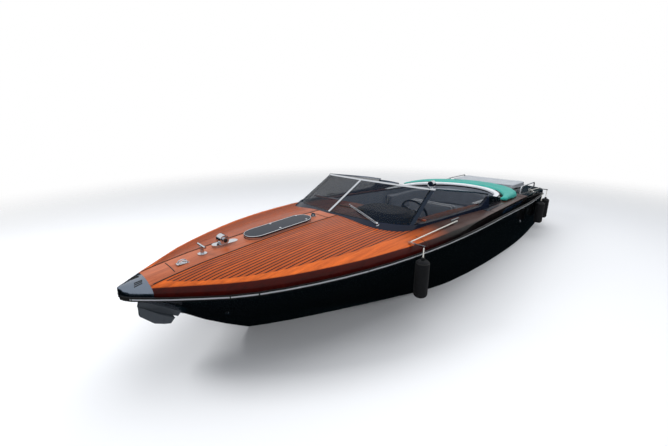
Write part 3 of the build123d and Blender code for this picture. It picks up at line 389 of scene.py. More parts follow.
@dataclass(frozen=True)
class GlossGelcoat(Finish):
    """Pigmented gelcoat, moulded and polished: a deep wet gloss with the faintest ripple."""

    rough: float = 0.08
    ripple_mm: float = 180.0
    ripple_depth_mm: float = 4.0
    haze_mm: float = 260.0
    shine: float = 0.2

    def dress(self, tree: Tree, place: Socket, shader: Shader) -> None:
        """Add a long ripple and polishing haze.

        Args:
            tree: Node tree of the material.
            place: Object coordinates.
            shader: The Principled shader.
        """
        self.roughen(tree, place, shader, self.rough, self.rough * 1.8, self.haze_mm)
        wave = node(tree, "TexNoise", {"Vector": place, "Scale": 1000 / self.ripple_mm, "Detail": 1.0})
        bump = node(tree, "Bump", {"Height": wave.outputs["Fac"], "Strength": 0.05,
                                   "Distance": self.ripple_depth_mm * MM})
        tree.links.new(bump.outputs["Normal"], shader.inputs["Normal"])
        shader.inputs["Specular IOR Level"].default_value = self.shine


@dataclass(frozen=True)
class PolishedStainless(Finish):
    """Stainless steel, cast or drawn and mirror polished: faint smudges in the reflections."""

    low: float = 0.08
    high: float = 0.2
    metallic: float = 1.0
    smudge_mm: float = 40.0
    wave_depth_mm: float = 1.0
    outer: str = ""
    outer_from: float = 0.35
    outer_to: float = 0.45

    def dress(self, tree: Tree, place: Socket, shader: Shader) -> None:
        """Make it metal with soft smudges, and darker on the sides of the boat if it has an outer colour.

        Args:
            tree: Node tree of the material.
            place: Object coordinates.
            shader: The Principled shader.
        """
        shader.inputs["Metallic"].default_value = self.metallic
        if self.outer:
            split = node(tree, "SeparateXYZ", {"Vector": place})
            across = node(tree, "Math", {0: split.outputs["Y"]}, operation="ABSOLUTE").outputs[0]
            beyond = node(tree, "MapRange", {"Value": across, "From Min": self.outer_from,
                                             "From Max": self.outer_to})
            made = node(tree, "Mix", {"Factor": beyond.outputs["Result"], "A": linear(self.colour),
                                      "B": linear(self.outer)}, data_type="RGBA")
            tree.links.new(made.outputs["Result"], shader.inputs["Base Color"])
        self.roughen(tree, place, shader, self.low, self.high, self.smudge_mm)
        wave = node(tree, "TexNoise", {"Vector": place, "Scale": 18.0, "Detail": 1.0})
        bump = node(tree, "Bump", {"Height": wave.outputs["Fac"], "Strength": 0.04,
                                   "Distance": self.wave_depth_mm * MM})
        tree.links.new(bump.outputs["Normal"], shader.inputs["Normal"])


@dataclass(frozen=True)
class TintedGlass(Finish):
    """Toughened safety glass, tinted through: clear, dark blue and very smooth."""

    alpha: float = 0.46
    rough: float = 0.02
    shine: float = 0.12
    cloud: str = "#16304A"
    cloud_mm: float = 500.0
    cloud_share: float = 0.12

    def dress(self, tree: Tree, place: Socket, shader: Shader) -> None:
        """Let part of the light straight through, and cloud the tint a little.

        Args:
            tree: Node tree of the material.
            place: Object coordinates.
            shader: The Principled shader.
        """
        shader.inputs["Roughness"].default_value = self.rough
        shader.inputs["Alpha"].default_value = self.alpha
        shader.inputs["Specular IOR Level"].default_value = self.shine
        cloud = node(tree, "TexNoise", {"Vector": place, "Scale": 1000 / self.cloud_mm, "Detail": 1.0})
        tone = node(tree, "MapRange", {"Value": cloud.outputs["Fac"], "From Min": 0.3, "From Max": 0.7,
                                       "To Min": 0.0, "To Max": self.cloud_share})
        made = node(tree, "Mix", {"Factor": tone.outputs["Result"], "A": linear(self.colour),
                                  "B": linear(self.cloud)}, data_type="RGBA")
        tree.links.new(made.outputs["Result"], shader.inputs["Base Color"])


@dataclass(frozen=True)
class CoatedUpholstery(Finish):
    """Polyurethane-coated marine upholstery, embossed: a soft leather grain with a low sheen."""

    grain_mm: float = 4.0
    grain_depth_mm: float = 1.0
    relief: float = 0.22
    rough: float = 0.46
    rough_mm: float = 120.0
    tones: tuple[float, float] = (0.9, 1.04)
    sheen: float = 0.04
    shine: float = 0.25

    def dress(self, tree: Tree, place: Socket, shader: Shader) -> None:
        """Emboss leather cells and let the tone drift a little.

        Args:
            tree: Node tree of the material.
            place: Object coordinates.
            shader: The Principled shader.
        """
        # real grain is about 1 mm; drawn at 4 mm so that it shows
        cells = node(tree, "TexVoronoi", {"Vector": place, "Scale": 1000 / self.grain_mm},
                     feature="DISTANCE_TO_EDGE")
        fold = node(tree, "TexNoise", {"Vector": place, "Scale": 7.0, "Detail": 3.0})
        mixed = node(tree, "Math", {0: cells.outputs["Distance"], 1: fold.outputs["Fac"]}, operation="ADD")
        bump = node(tree, "Bump", {"Height": mixed.outputs[0], "Strength": self.relief,
                                   "Distance": self.grain_depth_mm * MM})
        tree.links.new(bump.outputs["Normal"], shader.inputs["Normal"])
        self.shade(tree, shader, fold.outputs["Fac"], (0.3, 0.7), self.tones)
        self.roughen(tree, place, shader, self.rough - 0.06, self.rough + 0.08, self.rough_mm)
        shader.inputs["Sheen Weight"].default_value = self.sheen
        shader.inputs["Specular IOR Level"].default_value = self.shine


@dataclass(frozen=True)
class SatinMoulding(Finish):
    """Gelcoat, painted casting, enamel or rubber, moulded or sprayed: a satin face with fine raised grain."""

    grain_mm: float = 3.0
    grain_depth_mm: float = 0.5
    relief: float = 0.08
    rough: float = 0.42
    rough_mm: float = 90.0
    soil_mm: float = 200.0
    tones: tuple[float, float] = (1.0, 0.86)

    def dress(self, tree: Tree, place: Socket, shader: Shader) -> None:
        """Raise small grains and soil them faintly.

        Args:
            tree: Node tree of the material.
            place: Object coordinates.
            shader: The Principled shader.
        """
        cells = node(tree, "TexVoronoi", {"Vector": place, "Scale": 1000 / self.grain_mm})
        bump = node(tree, "Bump", {"Height": cells.outputs["Distance"], "Strength": self.relief,
                                   "Distance": self.grain_depth_mm * MM})
        tree.links.new(bump.outputs["Normal"], shader.inputs["Normal"])
        soil = node(tree, "TexNoise", {"Vector": place, "Scale": 1000 / self.soil_mm, "Detail": 5.0})
        self.shade(tree, shader, soil.outputs["Fac"], (0.35, 0.7), self.tones)
        self.roughen(tree, place, shader, self.rough - 0.05, self.rough + 0.08, self.rough_mm)


@dataclass(frozen=True)
class KnittedCover(Finish):
    """Knitted acrylic cover or braided rope: soft and matt, with rows of small loops."""

    loop_mm: float = 7.0
    loop_depth_mm: float = 2.0
    relief: float = 0.5
    rough: float = 0.9
    tones: tuple[float, float] = (1.2, 0.7)
    sheen: float = 0.03

    def dress(self, tree: Tree, place: Socket, shader: Shader) -> None:
        """Draw loops in rows, coarser than the real 2 mm so that they show.

        Args:
            tree: Node tree of the material.
            place: Object coordinates.
            shader: The Principled shader.
        """
        rows = node(tree, "TexWave", {"Vector": place, "Scale": 1000 / self.loop_mm / 20, "Distortion": 1.5,
                                      "Detail": 2.0, "Detail Scale": 6.0}, bands_direction="Z")
        cells = node(tree, "TexVoronoi", {"Vector": place, "Scale": 1000 / self.loop_mm})
        mixed = node(tree, "Math", {0: rows.outputs["Fac"], 1: cells.outputs["Distance"]}, operation="ADD")
        bump = node(tree, "Bump", {"Height": mixed.outputs[0], "Strength": self.relief,
                                   "Distance": self.loop_depth_mm * MM})
        tree.links.new(bump.outputs["Normal"], shader.inputs["Normal"])
        self.shade(tree, shader, cells.outputs["Distance"], (0.0, 1.0), self.tones)
        shader.inputs["Roughness"].default_value = self.rough
        shader.inputs["Sheen Weight"].default_value = self.sheen


# half-width of the planked field at some places along the boat; outside it lies the margin board
MARGIN = ((1.20, 0.990), (1.60, 0.985), (2.00, 0.950), (2.40, 0.890), (2.80, 0.785), (3.10, 0.680),
          (3.40, 0.525), (3.60, 0.385), (3.80, 0.190))
PLANK_MM = 34.6667
# the planking's side colour is painted reflection on the rolled edge, and its aft colour painted shade and
# reflection round the cockpit
PLANKED = VarnishedMahogany("varnished_planking", "#D4651C", deep="#8C360C", plank_mm=PLANK_MM, seam_and_shade_mm=12.0,
                            caulk="#1E0C08", narrow="#DCD4DC", side="#46190F", aft="#3E3442", margin=MARGIN)
KING = VarnishedMahogany("varnished_king_plank", "#B0603C", deep="#7A361C", ribbon_mm=90.0)
PANEL = VarnishedMahogany("varnished_panel", "#8E3D1A", deep="#431408")
TEAK = VarnishedMahogany("oiled_platform_planks", "#A5683C", deep="#5A3016", plank_mm=60.0,
                         first_seam_mm=30.0)
BLACK_HULL = GlossGelcoat("black_gelcoat", "#040506", shine=0.3)
BASE_BLUE = GlossGelcoat("dark_blue_screen_base", "#151B2A", rough=0.15)
STEEL = PolishedStainless("polished_stainless", "#C6CAD0")
SATIN = PolishedStainless("satin_stainless", "#DDE0E4", low=0.28, high=0.4, metallic=0.55)
STRUT = PolishedStainless("screen_struts", "#C6CAD0", outer="#28303C")
CAST = PolishedStainless("cast_stainless", "#747E8C", low=0.12, high=0.25)
ANCHOR = PolishedStainless("anchor_stainless", "#7E848C", low=0.1, high=0.22, metallic=0.7)
GLASS = TintedGlass("tinted_screen_glass", "#07131F")
SMOKED = GlossGelcoat("smoked_acrylic", "#0E1A28", rough=0.04, shine=0.08)
SILVER = CoatedUpholstery("silver_upholstery", "#8E939C")
WHITE = CoatedUpholstery("white_upholstery", "#D3D6DA")
PALE = CoatedUpholstery("pale_grey_upholstery", "#A6ABB1")
TURQUOISE = CoatedUpholstery("turquoise_upholstery", "#2A968C")
BROWN = CoatedUpholstery("brown_stitched_cover", "#150E0D", rough=0.5)
RIM = CoatedUpholstery("black_stitched_rim", "#14161A", grain_mm=3.0, rough=0.4)
LINER = SatinMoulding("grey_gelcoat_liner", "#8B919B")
DRIVE = SatinMoulding("satin_black_castings", "#17181A", grain_mm=1.5, rough=0.35)
ENGINE = SatinMoulding("grey_engine_enamel", "#6B6E72", grain_mm=2.0, rough=0.35)
RUBBER = SatinMoulding("black_rubber", "#101112", grain_mm=2.0, rough=0.6)
KNIT = KnittedCover("navy_knitted_cover", "#05070C")
ROPE = KnittedCover("white_braided_rope", "#D9D7CF", loop_mm=4.0)


# Making pieces


def pick(*pieces: Piece) -> None:
    """Select some pieces and nothing else, the first of them active."""
    bpy.ops.object.select_all(action="DESELECT")
    for piece in pieces:
        piece.select_set(True)
    bpy.context.view_layer.objects.active = pieces[0]


def settle(piece: Piece, finish: Finish, slot: str, body: Body = Body.BOAT, smooth: float = 35.0) -> Piece:
    """Give a new piece its finish and body.

    Args:
        piece: The finished object.
        finish: Its finish.
        slot: Not used; the record's material slot it stands for.
        body: The body that it rides on.
        smooth: Angle in degrees up to which edges are shaded smooth.

    Returns:
        The piece.
    """
    pick(piece)
    bpy.ops.object.transform_apply(location=True, rotation=True, scale=True)
    bpy.ops.object.shade_smooth_by_angle(angle=math.radians(smooth))
    piece.data.materials.clear()
    piece.data.materials.append(finish.material())
    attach(piece, body.value)
    log.info("piece %s: %d faces", piece.name, len(piece.data.polygons))
    return piece


def start(name: str, add: Callable[..., object], **settings: object) -> Piece:
    """Add a primitive with nothing else selected.

    Args:
        name: Name of the new piece.
        add: The operator that adds it.
        settings: The operator's settings.

    Returns:
        The new object.
    """
    bpy.ops.object.select_all(action="DESELECT")
    add(**settings)
    made = bpy.context.object
    made.name = made.data.name = name
    return made


@contextmanager
def editing(piece: Piece) -> Iterator[None]:
    """Work on all of a piece in edit mode.

    Args:
        piece: The piece.

    Yields:
        Nothing, while all of the piece is selected.
    """
    bpy.context.view_layer.objects.active = piece
    bpy.ops.object.mode_set(mode="EDIT")
    bpy.ops.mesh.select_all(action="SELECT")
    yield
    bpy.ops.object.mode_set(mode="OBJECT")


def righted(piece: Piece) -> Piece:
    """Turn all faces of a piece outwards."""
    with editing(piece):
        bpy.ops.mesh.normals_make_consistent(inside=False)
    return piece


def modified(piece: Piece, name: str, kind: str, **settings: object) -> Piece:
    """Put a modifier on a piece and apply it.

    Args:
        piece: The piece.
        name: What the modifier is called.
        kind: Type of the modifier.
        settings: The modifier's settings.

    Returns:
        The piece.
    """
    bpy.context.view_layer.objects.active = piece
    added = piece.modifiers.new(name, kind)
    for setting, value in settings.items():
        setattr(added, setting, value)
    bpy.ops.object.modifier_apply(modifier=added.name)
    return piece


def shaped(piece: Piece, points: Iterable[Sequence[float]]) -> Piece:
    """Put the corners of a piece at new points.

    Args:
        piece: The piece.
        points: The point of each corner in turn.

    Returns:
        The piece.
    """
    piece.data.vertices.foreach_set("co", [value for point in points for value in point])
    piece.data.update()
    return piece


def sheet(name: str, cuts: tuple[int, int], spot: Callable[[float, float], Sequence[float]]) -> Piece:
    """Make a grid and put its corners where a rule says.

    Args:
        name: Name of the piece.
        cuts: Divisions along it and across it.
        spot: Gives the place of a corner from its shares along and across, each 0 to 1.

    Returns:
        A sheet with no thickness yet.
    """
    along, across = cuts
    piece = start(name, bpy.ops.mesh.primitive_grid_add, x_subdivisions=along, y_subdivisions=across,
                  size=2.0)
    return shaped(piece, [spot((v.co.x + 1) / 2, (v.co.y + 1) / 2) for v in piece.data.vertices])


def drawn(name: str, path: Sequence[Sequence[float]]) -> Piece:
    """Draw one vertex out along a path.

    Args:
        name: Name of the piece.
        path: The points that it follows.

    Returns:
        A wire of edges.
    """
    piece = start(name, bpy.ops.mesh.primitive_plane_add, size=0.01)
    with editing(piece):
        bpy.ops.mesh.merge(type="CENTER")
        bpy.ops.transform.translate(value=tuple(path[0]))
        for here, there in zip(path, path[1:]):
            step = tuple(Vector(there) - Vector(here))
            bpy.ops.mesh.extrude_region_move(TRANSFORM_OT_translate={"value": step})
    return piece


def strand(name: str, path: Sequence[Sequence[float]], radius: float, closed: bool = False) -> Piece:
    """Give a drawn path a round section.

    Args:
        name: Name of the piece.
        path: The points that it follows.
        radius: Radius of the section.
        closed: True for a ring, whose last point is its first.

    Returns:
        A solid strand.
    """
    piece = drawn(name, [*path, path[0]] if closed else path)
    if closed:
        with editing(piece):
            bpy.ops.mesh.remove_doubles(threshold=0.0002)
    bpy.ops.object.convert(target="CURVE")
    piece.data.bevel_depth = radius
    piece.data.bevel_resolution = 2
    piece.data.use_fill_caps = True
    bpy.ops.object.convert(target="MESH")
    return bpy.context.object


def turned(name: str, profile: Sequence[tuple[float, float]], steps: int = 28) -> Piece:
    """Spin a profile round Z.

    Args:
        name: Name of the piece.
        profile: Radius and height of each corner.
        steps: Facets round the piece.

    Returns:
        The turned piece, at the origin.
    """
    piece = drawn(name, [(radius, 0.0, height) for radius, height in profile])
    with editing(piece):
        bpy.ops.mesh.spin(steps=steps, angle=math.tau, center=(0, 0, 0), axis=(0, 0, 1))
        bpy.ops.mesh.select_all(action="SELECT")
        bpy.ops.mesh.remove_doubles(threshold=0.00005)
        bpy.ops.mesh.normals_make_consistent(inside=False)
    return piece


def slab(name: str, size: Point, rounding: float) -> Piece:
    """Make a block with rounded edges.

    Args:
        name: Name of the piece.
        size: Length, width and height.
        rounding: Width of the rounding.

    Returns:
        The block, centred on the origin.
    """
    piece = start(name, bpy.ops.mesh.primitive_cube_add, size=1.0)
    with editing(piece):
        bpy.ops.transform.resize(value=size)
        bpy.ops.mesh.bevel(offset=rounding, segments=2, affect="EDGES")
    return piece


def stand(piece: Piece, place: Sequence[float], along: Sequence[float] = UP) -> Piece:
    """Turn a piece's Z to a direction and put it in its place.

    Args:
        piece: The piece, at the origin.
        place: Where it goes.
        along: Direction of its Z.

    Returns:
        The piece.
    """
    piece.rotation_mode = "QUATERNION"
    piece.rotation_quaternion = Vector(along).to_track_quat("Z", "Y")
    piece.location = place
    return piece


def stood(first: Piece, spots: Sequence[tuple[Sequence[float], Sequence[float]]]) -> list[Piece]:
    """Stand a piece, and copies of it with meshes of their own, in their places.

    Args:
        first: The piece, at the origin.
        spots: Place and direction of the piece and of each copy.

    Returns:
        The piece and its copies.
    """
    made = [first]
    for _ in spots[1:]:
        pick(first)
        bpy.ops.object.duplicate(linked=False)
        made.append(bpy.context.object)
    return [stand(piece, place, along) for piece, (place, along) in zip(made, spots)]


def joined(name: str, pieces: Sequence[Piece]) -> Piece:
    """Join pieces into one.

    Args:
        name: Name of the joined piece.
        pieces: What is joined.

    Returns:
        The joined piece.
    """
    pick(*pieces)
    bpy.ops.object.transform_apply(location=True, rotation=True, scale=True)
    bpy.ops.object.join()
    made = bpy.context.object
    made.name = made.data.name = name
    return made


def beneath(x: float, y: float, nodes: Sequence[str]) -> Vector | None:
    """Find the highest surface of some CAD nodes at a place in plan.

    Args:
        x: Place along the boat.
        y: Place across the boat.
        nodes: The nodes.

    Returns:
        The point, or None where none of them lies.
    """
    best = None
    for name in nodes:
        found, place, _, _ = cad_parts[name].ray_cast(Vector((x, y, OVERHEAD)), -Vector(UP))
        if found and (best is None or place.z > best.z):
            best = place
    return best


def reach(x: float, nodes: Sequence[str], inner: float = 0.0, outer: float = 1.6) -> float:
    """Find how far out some CAD nodes reach.

    Args:
        x: Place along the boat.
        nodes: The nodes.
        inner: Distance from the centreline where they lie for certain.
        outer: Distance where they lie no more.

    Returns:
        Distance of their edge from the centreline.
    """
    for _ in range(12):
        middle = (inner + outer) / 2
        if beneath(x, middle, nodes) is None:
            outer = middle
        else:
            inner = middle
    return inner


def landed(x: float, y: float, nodes: Sequence[str], lift: float = 0.0) -> Vector:
    """Drop a point onto CAD nodes from above.

    Args:
        x: Place along the boat.
        y: Place across the boat.
        nodes: Nodes that it can land on.
        lift: Height above the surface found.

    Returns:
        The point on the highest surface.
    """
    best = beneath(x, y, nodes)
    if best is None:
        raise ValueError(f"nothing under {x:.3f}, {y:.3f}")
    return best + Vector((0.0, 0.0, lift))


def on_skin(node_name: str, near: Sequence[float], lift: float = 0.0) -> Vector:
    """Find the point of a CAD node's surface next to a place, moved out along its normal."""
    _, place, normal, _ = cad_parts[node_name].closest_point_on_mesh(Vector(near))
    return place + normal * lift


def patch(name: str, corners: Sequence[tuple[float, float]], nodes: Sequence[str], thick: float) -> Piece:
    """Lay a thin sheet on some nodes between four corners.

    Args:
        name: Name of the piece.
        corners: Plan corners, going round.
        nodes: Nodes that it lies on.
        thick: Thickness.

    Returns:
        The sheet.
    """

    def spot(u: float, v: float) -> Vector:
        """Give the place of a corner.

        Args:
            u: Share from the first corner to the second.
            v: Share from the first corner to the last.

        Returns:
            The point on the nodes.
        """
        weights = ((1 - u) * (1 - v), u * (1 - v), u * v, (1 - u) * v)
        x = sum(w * corner[0] for w, corner in zip(weights, corners))
        y = sum(w * corner[1] for w, corner in zip(weights, corners))
        return landed(x, y, nodes)

    return modified(righted(sheet(name, (24, 6), spot)), "thickness", "SOLIDIFY", thickness=thick, offset=1.0)


def dress_node(name: str, finish: Finish, fair: float = 0.0) -> None:
    """Put a finish on a CAD node.

    Args:
        name: The node.
        finish: Its finish.
        fair: Angle in degrees up to which its facets are shaded as one smooth skin.
    """
    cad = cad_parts[name]
    cad.data.materials.clear()
    cad.data.materials.append(finish.material())
    if fair:
        weld = cad.modifiers.new("weld", "WELD")
        weld.merge_threshold = WELD
        split = cad.modifiers.new("split", "EDGE_SPLIT")
        split.split_angle = math.radians(fair)
        even = cad.modifiers.new("even normals", "WEIGHTED_NORMAL")
        even.weight = 50
    log.info("node %s: %s", name, finish.name)


@dataclass
class Cushion:
    """A foam cushion made from a solid's shape, swollen as cloth under a light pressure."""

    node: str
    finish: Finish
    slot: str
    body: Body = Body.BOAT
    voxel: float = 0.018
    swell: float = 0.010
    shrink: float = 0.003
    fill: float = 0.8
    channels: Callable[[Vector], float] | None = None
    channel_depth: float = 0.009
    face: Point = UP
    pressure: float = 4.0
    cloth_frames: int = 15
    # a corner whose normal points down more than this is held, one that points to the face more is grooved
    held_normal: float = -0.7
    grooved_normal: float = 0.35

    def build(self) -> Piece:
        """Remesh, swell, groove and dress the cushion.

        Returns:
            The cushion piece.
        """
        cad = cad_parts[self.node]
        piece = bpy.data.objects.new(self.node + "_padded", cad.data.copy())
        bpy.context.scene.collection.objects.link(piece)
        pick(piece)
        with editing(piece):
            bpy.ops.mesh.remove_doubles(threshold=WELD)
        modified(piece, "even mesh", "REMESH", mode="VOXEL", voxel_size=self.voxel)
        modified(piece, "soft edges", "SMOOTH", iterations=4)
        self.draw_in(piece)
        self.inflate(piece)
        modified(piece, "finer mesh", "SUBSURF", levels=1, render_levels=1)
        if self.channels:
            self.groove(piece)
        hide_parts(self.node)
        settle(piece, self.finish, self.slot, self.body, 60)
        return piece

    def draw_in(self, piece: Piece) -> None:
        """Start a little smaller, so that the swollen cushion keeps its size."""
        shaped(piece, [vertex.co - vertex.normal * self.shrink for vertex in piece.data.vertices])

    def inflate(self, piece: Piece) -> None:
        """Swell the mesh with a short cloth run, its underside held.

        Args:
            piece: The cushion.
        """
        rest = [vertex.co.copy() for vertex in piece.data.vertices]
        low = min(co.z for co in rest)
        held = piece.vertex_groups.new(name="underside")
        under = [v.index for v in piece.data.vertices
                 if v.co.z < low + self.voxel or v.normal.z < self.held_normal]
        held.add(under, 1.0, "REPLACE")
        cloth = piece.modifiers.new("swell", "CLOTH")
        cloth.settings.use_pressure = True
        cloth.settings.uniform_pressure_force = self.pressure
        cloth.settings.effector_weights.gravity = 0.0
        cloth.settings.vertex_group_mass = held.name
        cloth.settings.quality = 4
        cloth.collision_settings.use_collision = False
        scene = bpy.context.scene
        for number in range(1, self.cloth_frames + 1):
            scene.frame_set(number)
        graph = bpy.context.evaluated_depsgraph_get()
        swollen = piece.evaluated_get(graph).data
        moved = [vertex.co.copy() for vertex in swollen.vertices]
        piece.modifiers.remove(cloth)
        scene.frame_set(1)
        placed = []
        for before, after in zip(rest, moved):
            step = after - before
            if step.length > self.swell:
                step = step.normalized() * self.swell
            placed.append(before + step)
        shaped(piece, placed)
        piece.vertex_groups.clear()

    def groove(self, piece: Piece) -> None:
        """Press sewn channels into the side that is sat on.

        Args:
            piece: The cushion.
        """
        placed = []
        face = Vector(self.face)
        for vertex in piece.data.vertices:
            faces = vertex.normal.dot(face) > self.grooved_normal
            depth = self.channel_depth * self.channels(vertex.co) if faces else 0.0
            placed.append(vertex.co - vertex.normal * depth)
        shaped(piece, placed)


def bars(spacing: float, across: Callable[[Vector], float],
         width: float = 0.014) -> Callable[[Vector], float]:
    """Give evenly spaced channels.

    Args:
        spacing: Distance between channels.
        across: Distance measured across the channels at a point.
        width: Width of a channel.

    Returns:
        Depth from 0 to 1 at a point.
    """

    def depth(point: Vector) -> float:
        """Give the depth of the nearest channel.

        Args:
            point: The point.

        Returns:
            Depth from 0 to 1.
        """
        value = across(point) / spacing
        off = abs(value - round(value)) * spacing
        return math.exp(-((off / width) ** 2))

    return depth


# Sub-assemblies


@dataclass
class Assembly:
    """A part of the boat: CAD nodes with their finishes, and the small pieces added to them."""

    finishes: dict[str, Finish] = field(default_factory=dict)
    fair_nodes: Sequence[str] = ()

    def dress(self) -> None:
        """Put each CAD node's finish on it."""
        for name, finish in self.finishes.items():
            dress_node(name, finish, FAIR_ANGLE if name in self.fair_nodes else 0.0)


@dataclass
class HullAndDeck(Assembly):
    """Hull, planked deck, covering boards and metal trim."""

    finishes: dict[str, Finish] = field(default_factory=lambda: {
        "hull_shell": BLACK_HULL, "stern_deck": BLACK_HULL, "deck_planking": PLANKED,
        "covering_boards": PLANKED, "king_plank": KING, "rub_rail": RUBBER, "bow_cap": CAST,
        "anchor": ANCHOR, "stem_band": STEEL, "engine_hatch": BLACK_HULL,
    })
    fair_nodes: Sequence[str] = ("hull_shell", *DECK)
    king_half: float = 0.165
    king_margin: float = 0.09
    seam: float = 0.006
    vents: Sequence[tuple[float, float]] = ((3.31, 0.37), (-1.9, 0.42))
    butts: Sequence[float] = (3.70, 1.99)
    board_joints: Sequence[tuple[float, float]] = ((-0.30, 0.12), (1.55, 0.16), (-1.90, 0.12))
    strip_step: float = 0.04
    strip_height: float = 0.012
    strip_thick: float = 0.004
    strip_proud: float = 0.0005
    dark_patch_corners: Sequence[tuple[float, float]] = ((-0.22, 1.035), (-0.96, 1.035), (-0.96, 1.05),
                                                     (-0.22, 1.10))
    slat_first_x: float = -0.30
    slat_spacing: float = 0.07
    slat_count: int = 9
    slot_count: int = 3

    def build(self) -> None:
        """Dress the hull and deck, and add its trim."""
        self.dress()
        self.rub_strips()
        self.king_seams()
        self.board_seams()
        self.side_vents()
        self.dark_deck_patches()
        self.roll_intakes()
        self.fairlead_slots()

    def rub_strips(self) -> None:
        """Flat stainless band along the outer face of the rubbing strake, port and starboard."""
        low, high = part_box("rub_rail")
        count = round((high.x - low.x) / self.strip_step)
        rise = Vector((0.0, 0.0, self.strip_height))
        sides = []
        for side, label in SIDES:
            crowns = [self.rail_crown(low.x + 0.01 + step * self.strip_step, side, low.z, high.z)
                      for step in range(count)]
            band = drawn("rub_strip_" + label, [crown - rise / 2 for crown in crowns if crown])
            with editing(band):
                bpy.ops.mesh.extrude_region_move(TRANSFORM_OT_translate={"value": tuple(rise)})
            modified(band, "thickness", "SOLIDIFY", thickness=self.strip_thick, offset=0.0)
            sides.append(righted(band))
        settle(joined("rub_strips", sides), SATIN, "stainless")

    def rail_crown(self, x: float, side: int, low: float, high: float) -> Vector | None:
        """Find the middle of the rubbing strake's outer face at a place along the boat.

        Args:
            x: Place along the boat.
            side: 1 to port, -1 to starboard.
            low: Lowest height to look at.
            high: Highest height to look at.

        Returns:
            The point, or None where there is no rail.
        """
        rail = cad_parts["rub_rail"]
        looks = 160
        hits = []
        for step in range(looks + 1):
            ray_start = Vector((x, side * ABEAM, low + (high - low) * step / looks))
            found, place, _, _ = rail.ray_cast(ray_start, Vector((0.0, -side, 0.0)))
            if found and place.y * side > 0.02:
                hits.append(place)
        if not hits:
            return None
        outermost = max(abs(place.y) for place in hits)
        face = [place.z for place in hits if abs(place.y) > outermost - 0.004]
        middle = outermost + self.strip_proud - self.strip_thick / 2
        return Vector((x, side * middle, sum(face) / len(face)))

    def king_seams(self) -> None:
        """Caulked seams each side of the king plank, and its butt joints."""
        made = []
        for side, label in SIDES:
            stations = [x / 10 for x in range(18, 39)] + [3.88]
            path = [landed(x, side * min(self.king_half, reach(x, DECK) - self.king_margin), DECK)
                    for x in stations]
            made.append(strand("king_seam_" + label, path, self.seam))
        for count, x in enumerate(self.butts):
            half = self.king_half if x < 3.5 else 0.12
            path = [landed(x, half * step / 4, DECK) for step in range(-4, 5)]
            made.append(strand(f"king_butt_{count}", path, self.seam * 0.7))
        settle(joined("king_seams", made), RUBBER, "dark_rim")

    def board_seams(self) -> None:
        """Joints across the covering boards where one plank ends and the next begins."""
        made = []
        for x, width in self.board_joints:
            outer = reach(x, DECK, 0.8) - 0.003
            for side, _ in SIDES:
                path = [landed(x, side * (outer - width * step / 8), DECK) for step in range(9)]
                made.append(strand("board_joint", path, 0.003))
        settle(joined("board_seams", made), RUBBER, "dark_rim")

    def side_vents(self) -> None:
        """Small polished vents through the topsides."""
        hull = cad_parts["hull_shell"]
        spots = []
        for x, z in self.vents:
            for side, _ in SIDES:
                beside = Vector((x, side * ABEAM, z))
                found, place, normal, _ = hull.ray_cast(beside, Vector((0.0, -side, 0.0)))
                if found:
                    spots.append((place, normal))
        vent = turned("vent", [(0.0, 0.002), (0.010, 0.002), (0.013, 0.006), (0.020, 0.007),
                               (0.025, 0.004), (0.026, -0.004)])
        vent.scale = (1.0, 1.0, 0.8)
        settle(joined("side_vents", stood(vent, spots)), STEEL, "stainless")

    def dark_deck_patches(self) -> None:
        """Thin black glossy patches with slats on them, laid on the deck beside the cockpit."""
        for side, label in SIDES:
            corners = [(x, side * y) for x, y in self.dark_patch_corners]
            settle(patch("deck_dark_patch_" + label, corners, DECK, 0.004), SMOKED, "dark_glass")
            slats = []
            for count in range(self.slat_count):
                x = self.slat_first_x - count * self.slat_spacing
                width = 0.052 - count * 0.005
                path = [landed(x - width * step / 4, side * (1.042 + width * step / 4), DECK, 0.005)
                        for step in range(5)]
                slats.append(strand("slat", path, 0.0025))
            settle(joined("dark_patch_slats_" + label, slats), DRIVE, "drive_paint")

    def roll_intakes(self) -> None:
        """Long black air intake in the rolled edge beside the seats, port and starboard."""
        for side, label in SIDES:
            piece = sheet("roll_intake_" + label, (28, 4), lambda along, up: self.on_roll(side, along, up))
            modified(piece, "thickness", "SOLIDIFY", thickness=0.003)
            settle(righted(piece), SMOKED, "dark_glass")

    def on_roll(self, side: int, along: float, up: float) -> Vector:
        """Place a corner of the long air intake.

        Args:
            side: 1 to port, -1 to starboard.
            along: Share of its length, from its forward end.
            up: Share of its height.

        Returns:
            The point, just outside the rolled edge.
        """
        x = -0.65 - 0.15 * up - (1.10 - 0.03 * up) * along
        z = 0.80 - 0.01 * along + (0.06 - 0.02 * along) * up
        return on_skin("covering_boards", (x, side * 1.4, z), 0.002)

    def fairlead_slots(self) -> None:
        """Three dark slots each side of the stem head, where mooring lines pass under the cap."""
        made = []
        for side, _ in SIDES:
            for count in range(self.slot_count):
                y = side * (0.045 + 0.022 * count)
                path = [landed(3.93 + 0.012 * step + 0.006 * count, y, ("bow_cap",)) for step in range(6)]
                made.append(strand("slot", path, 0.0045))
        settle(joined("fairlead_slots", made), RUBBER, "dark_rim")


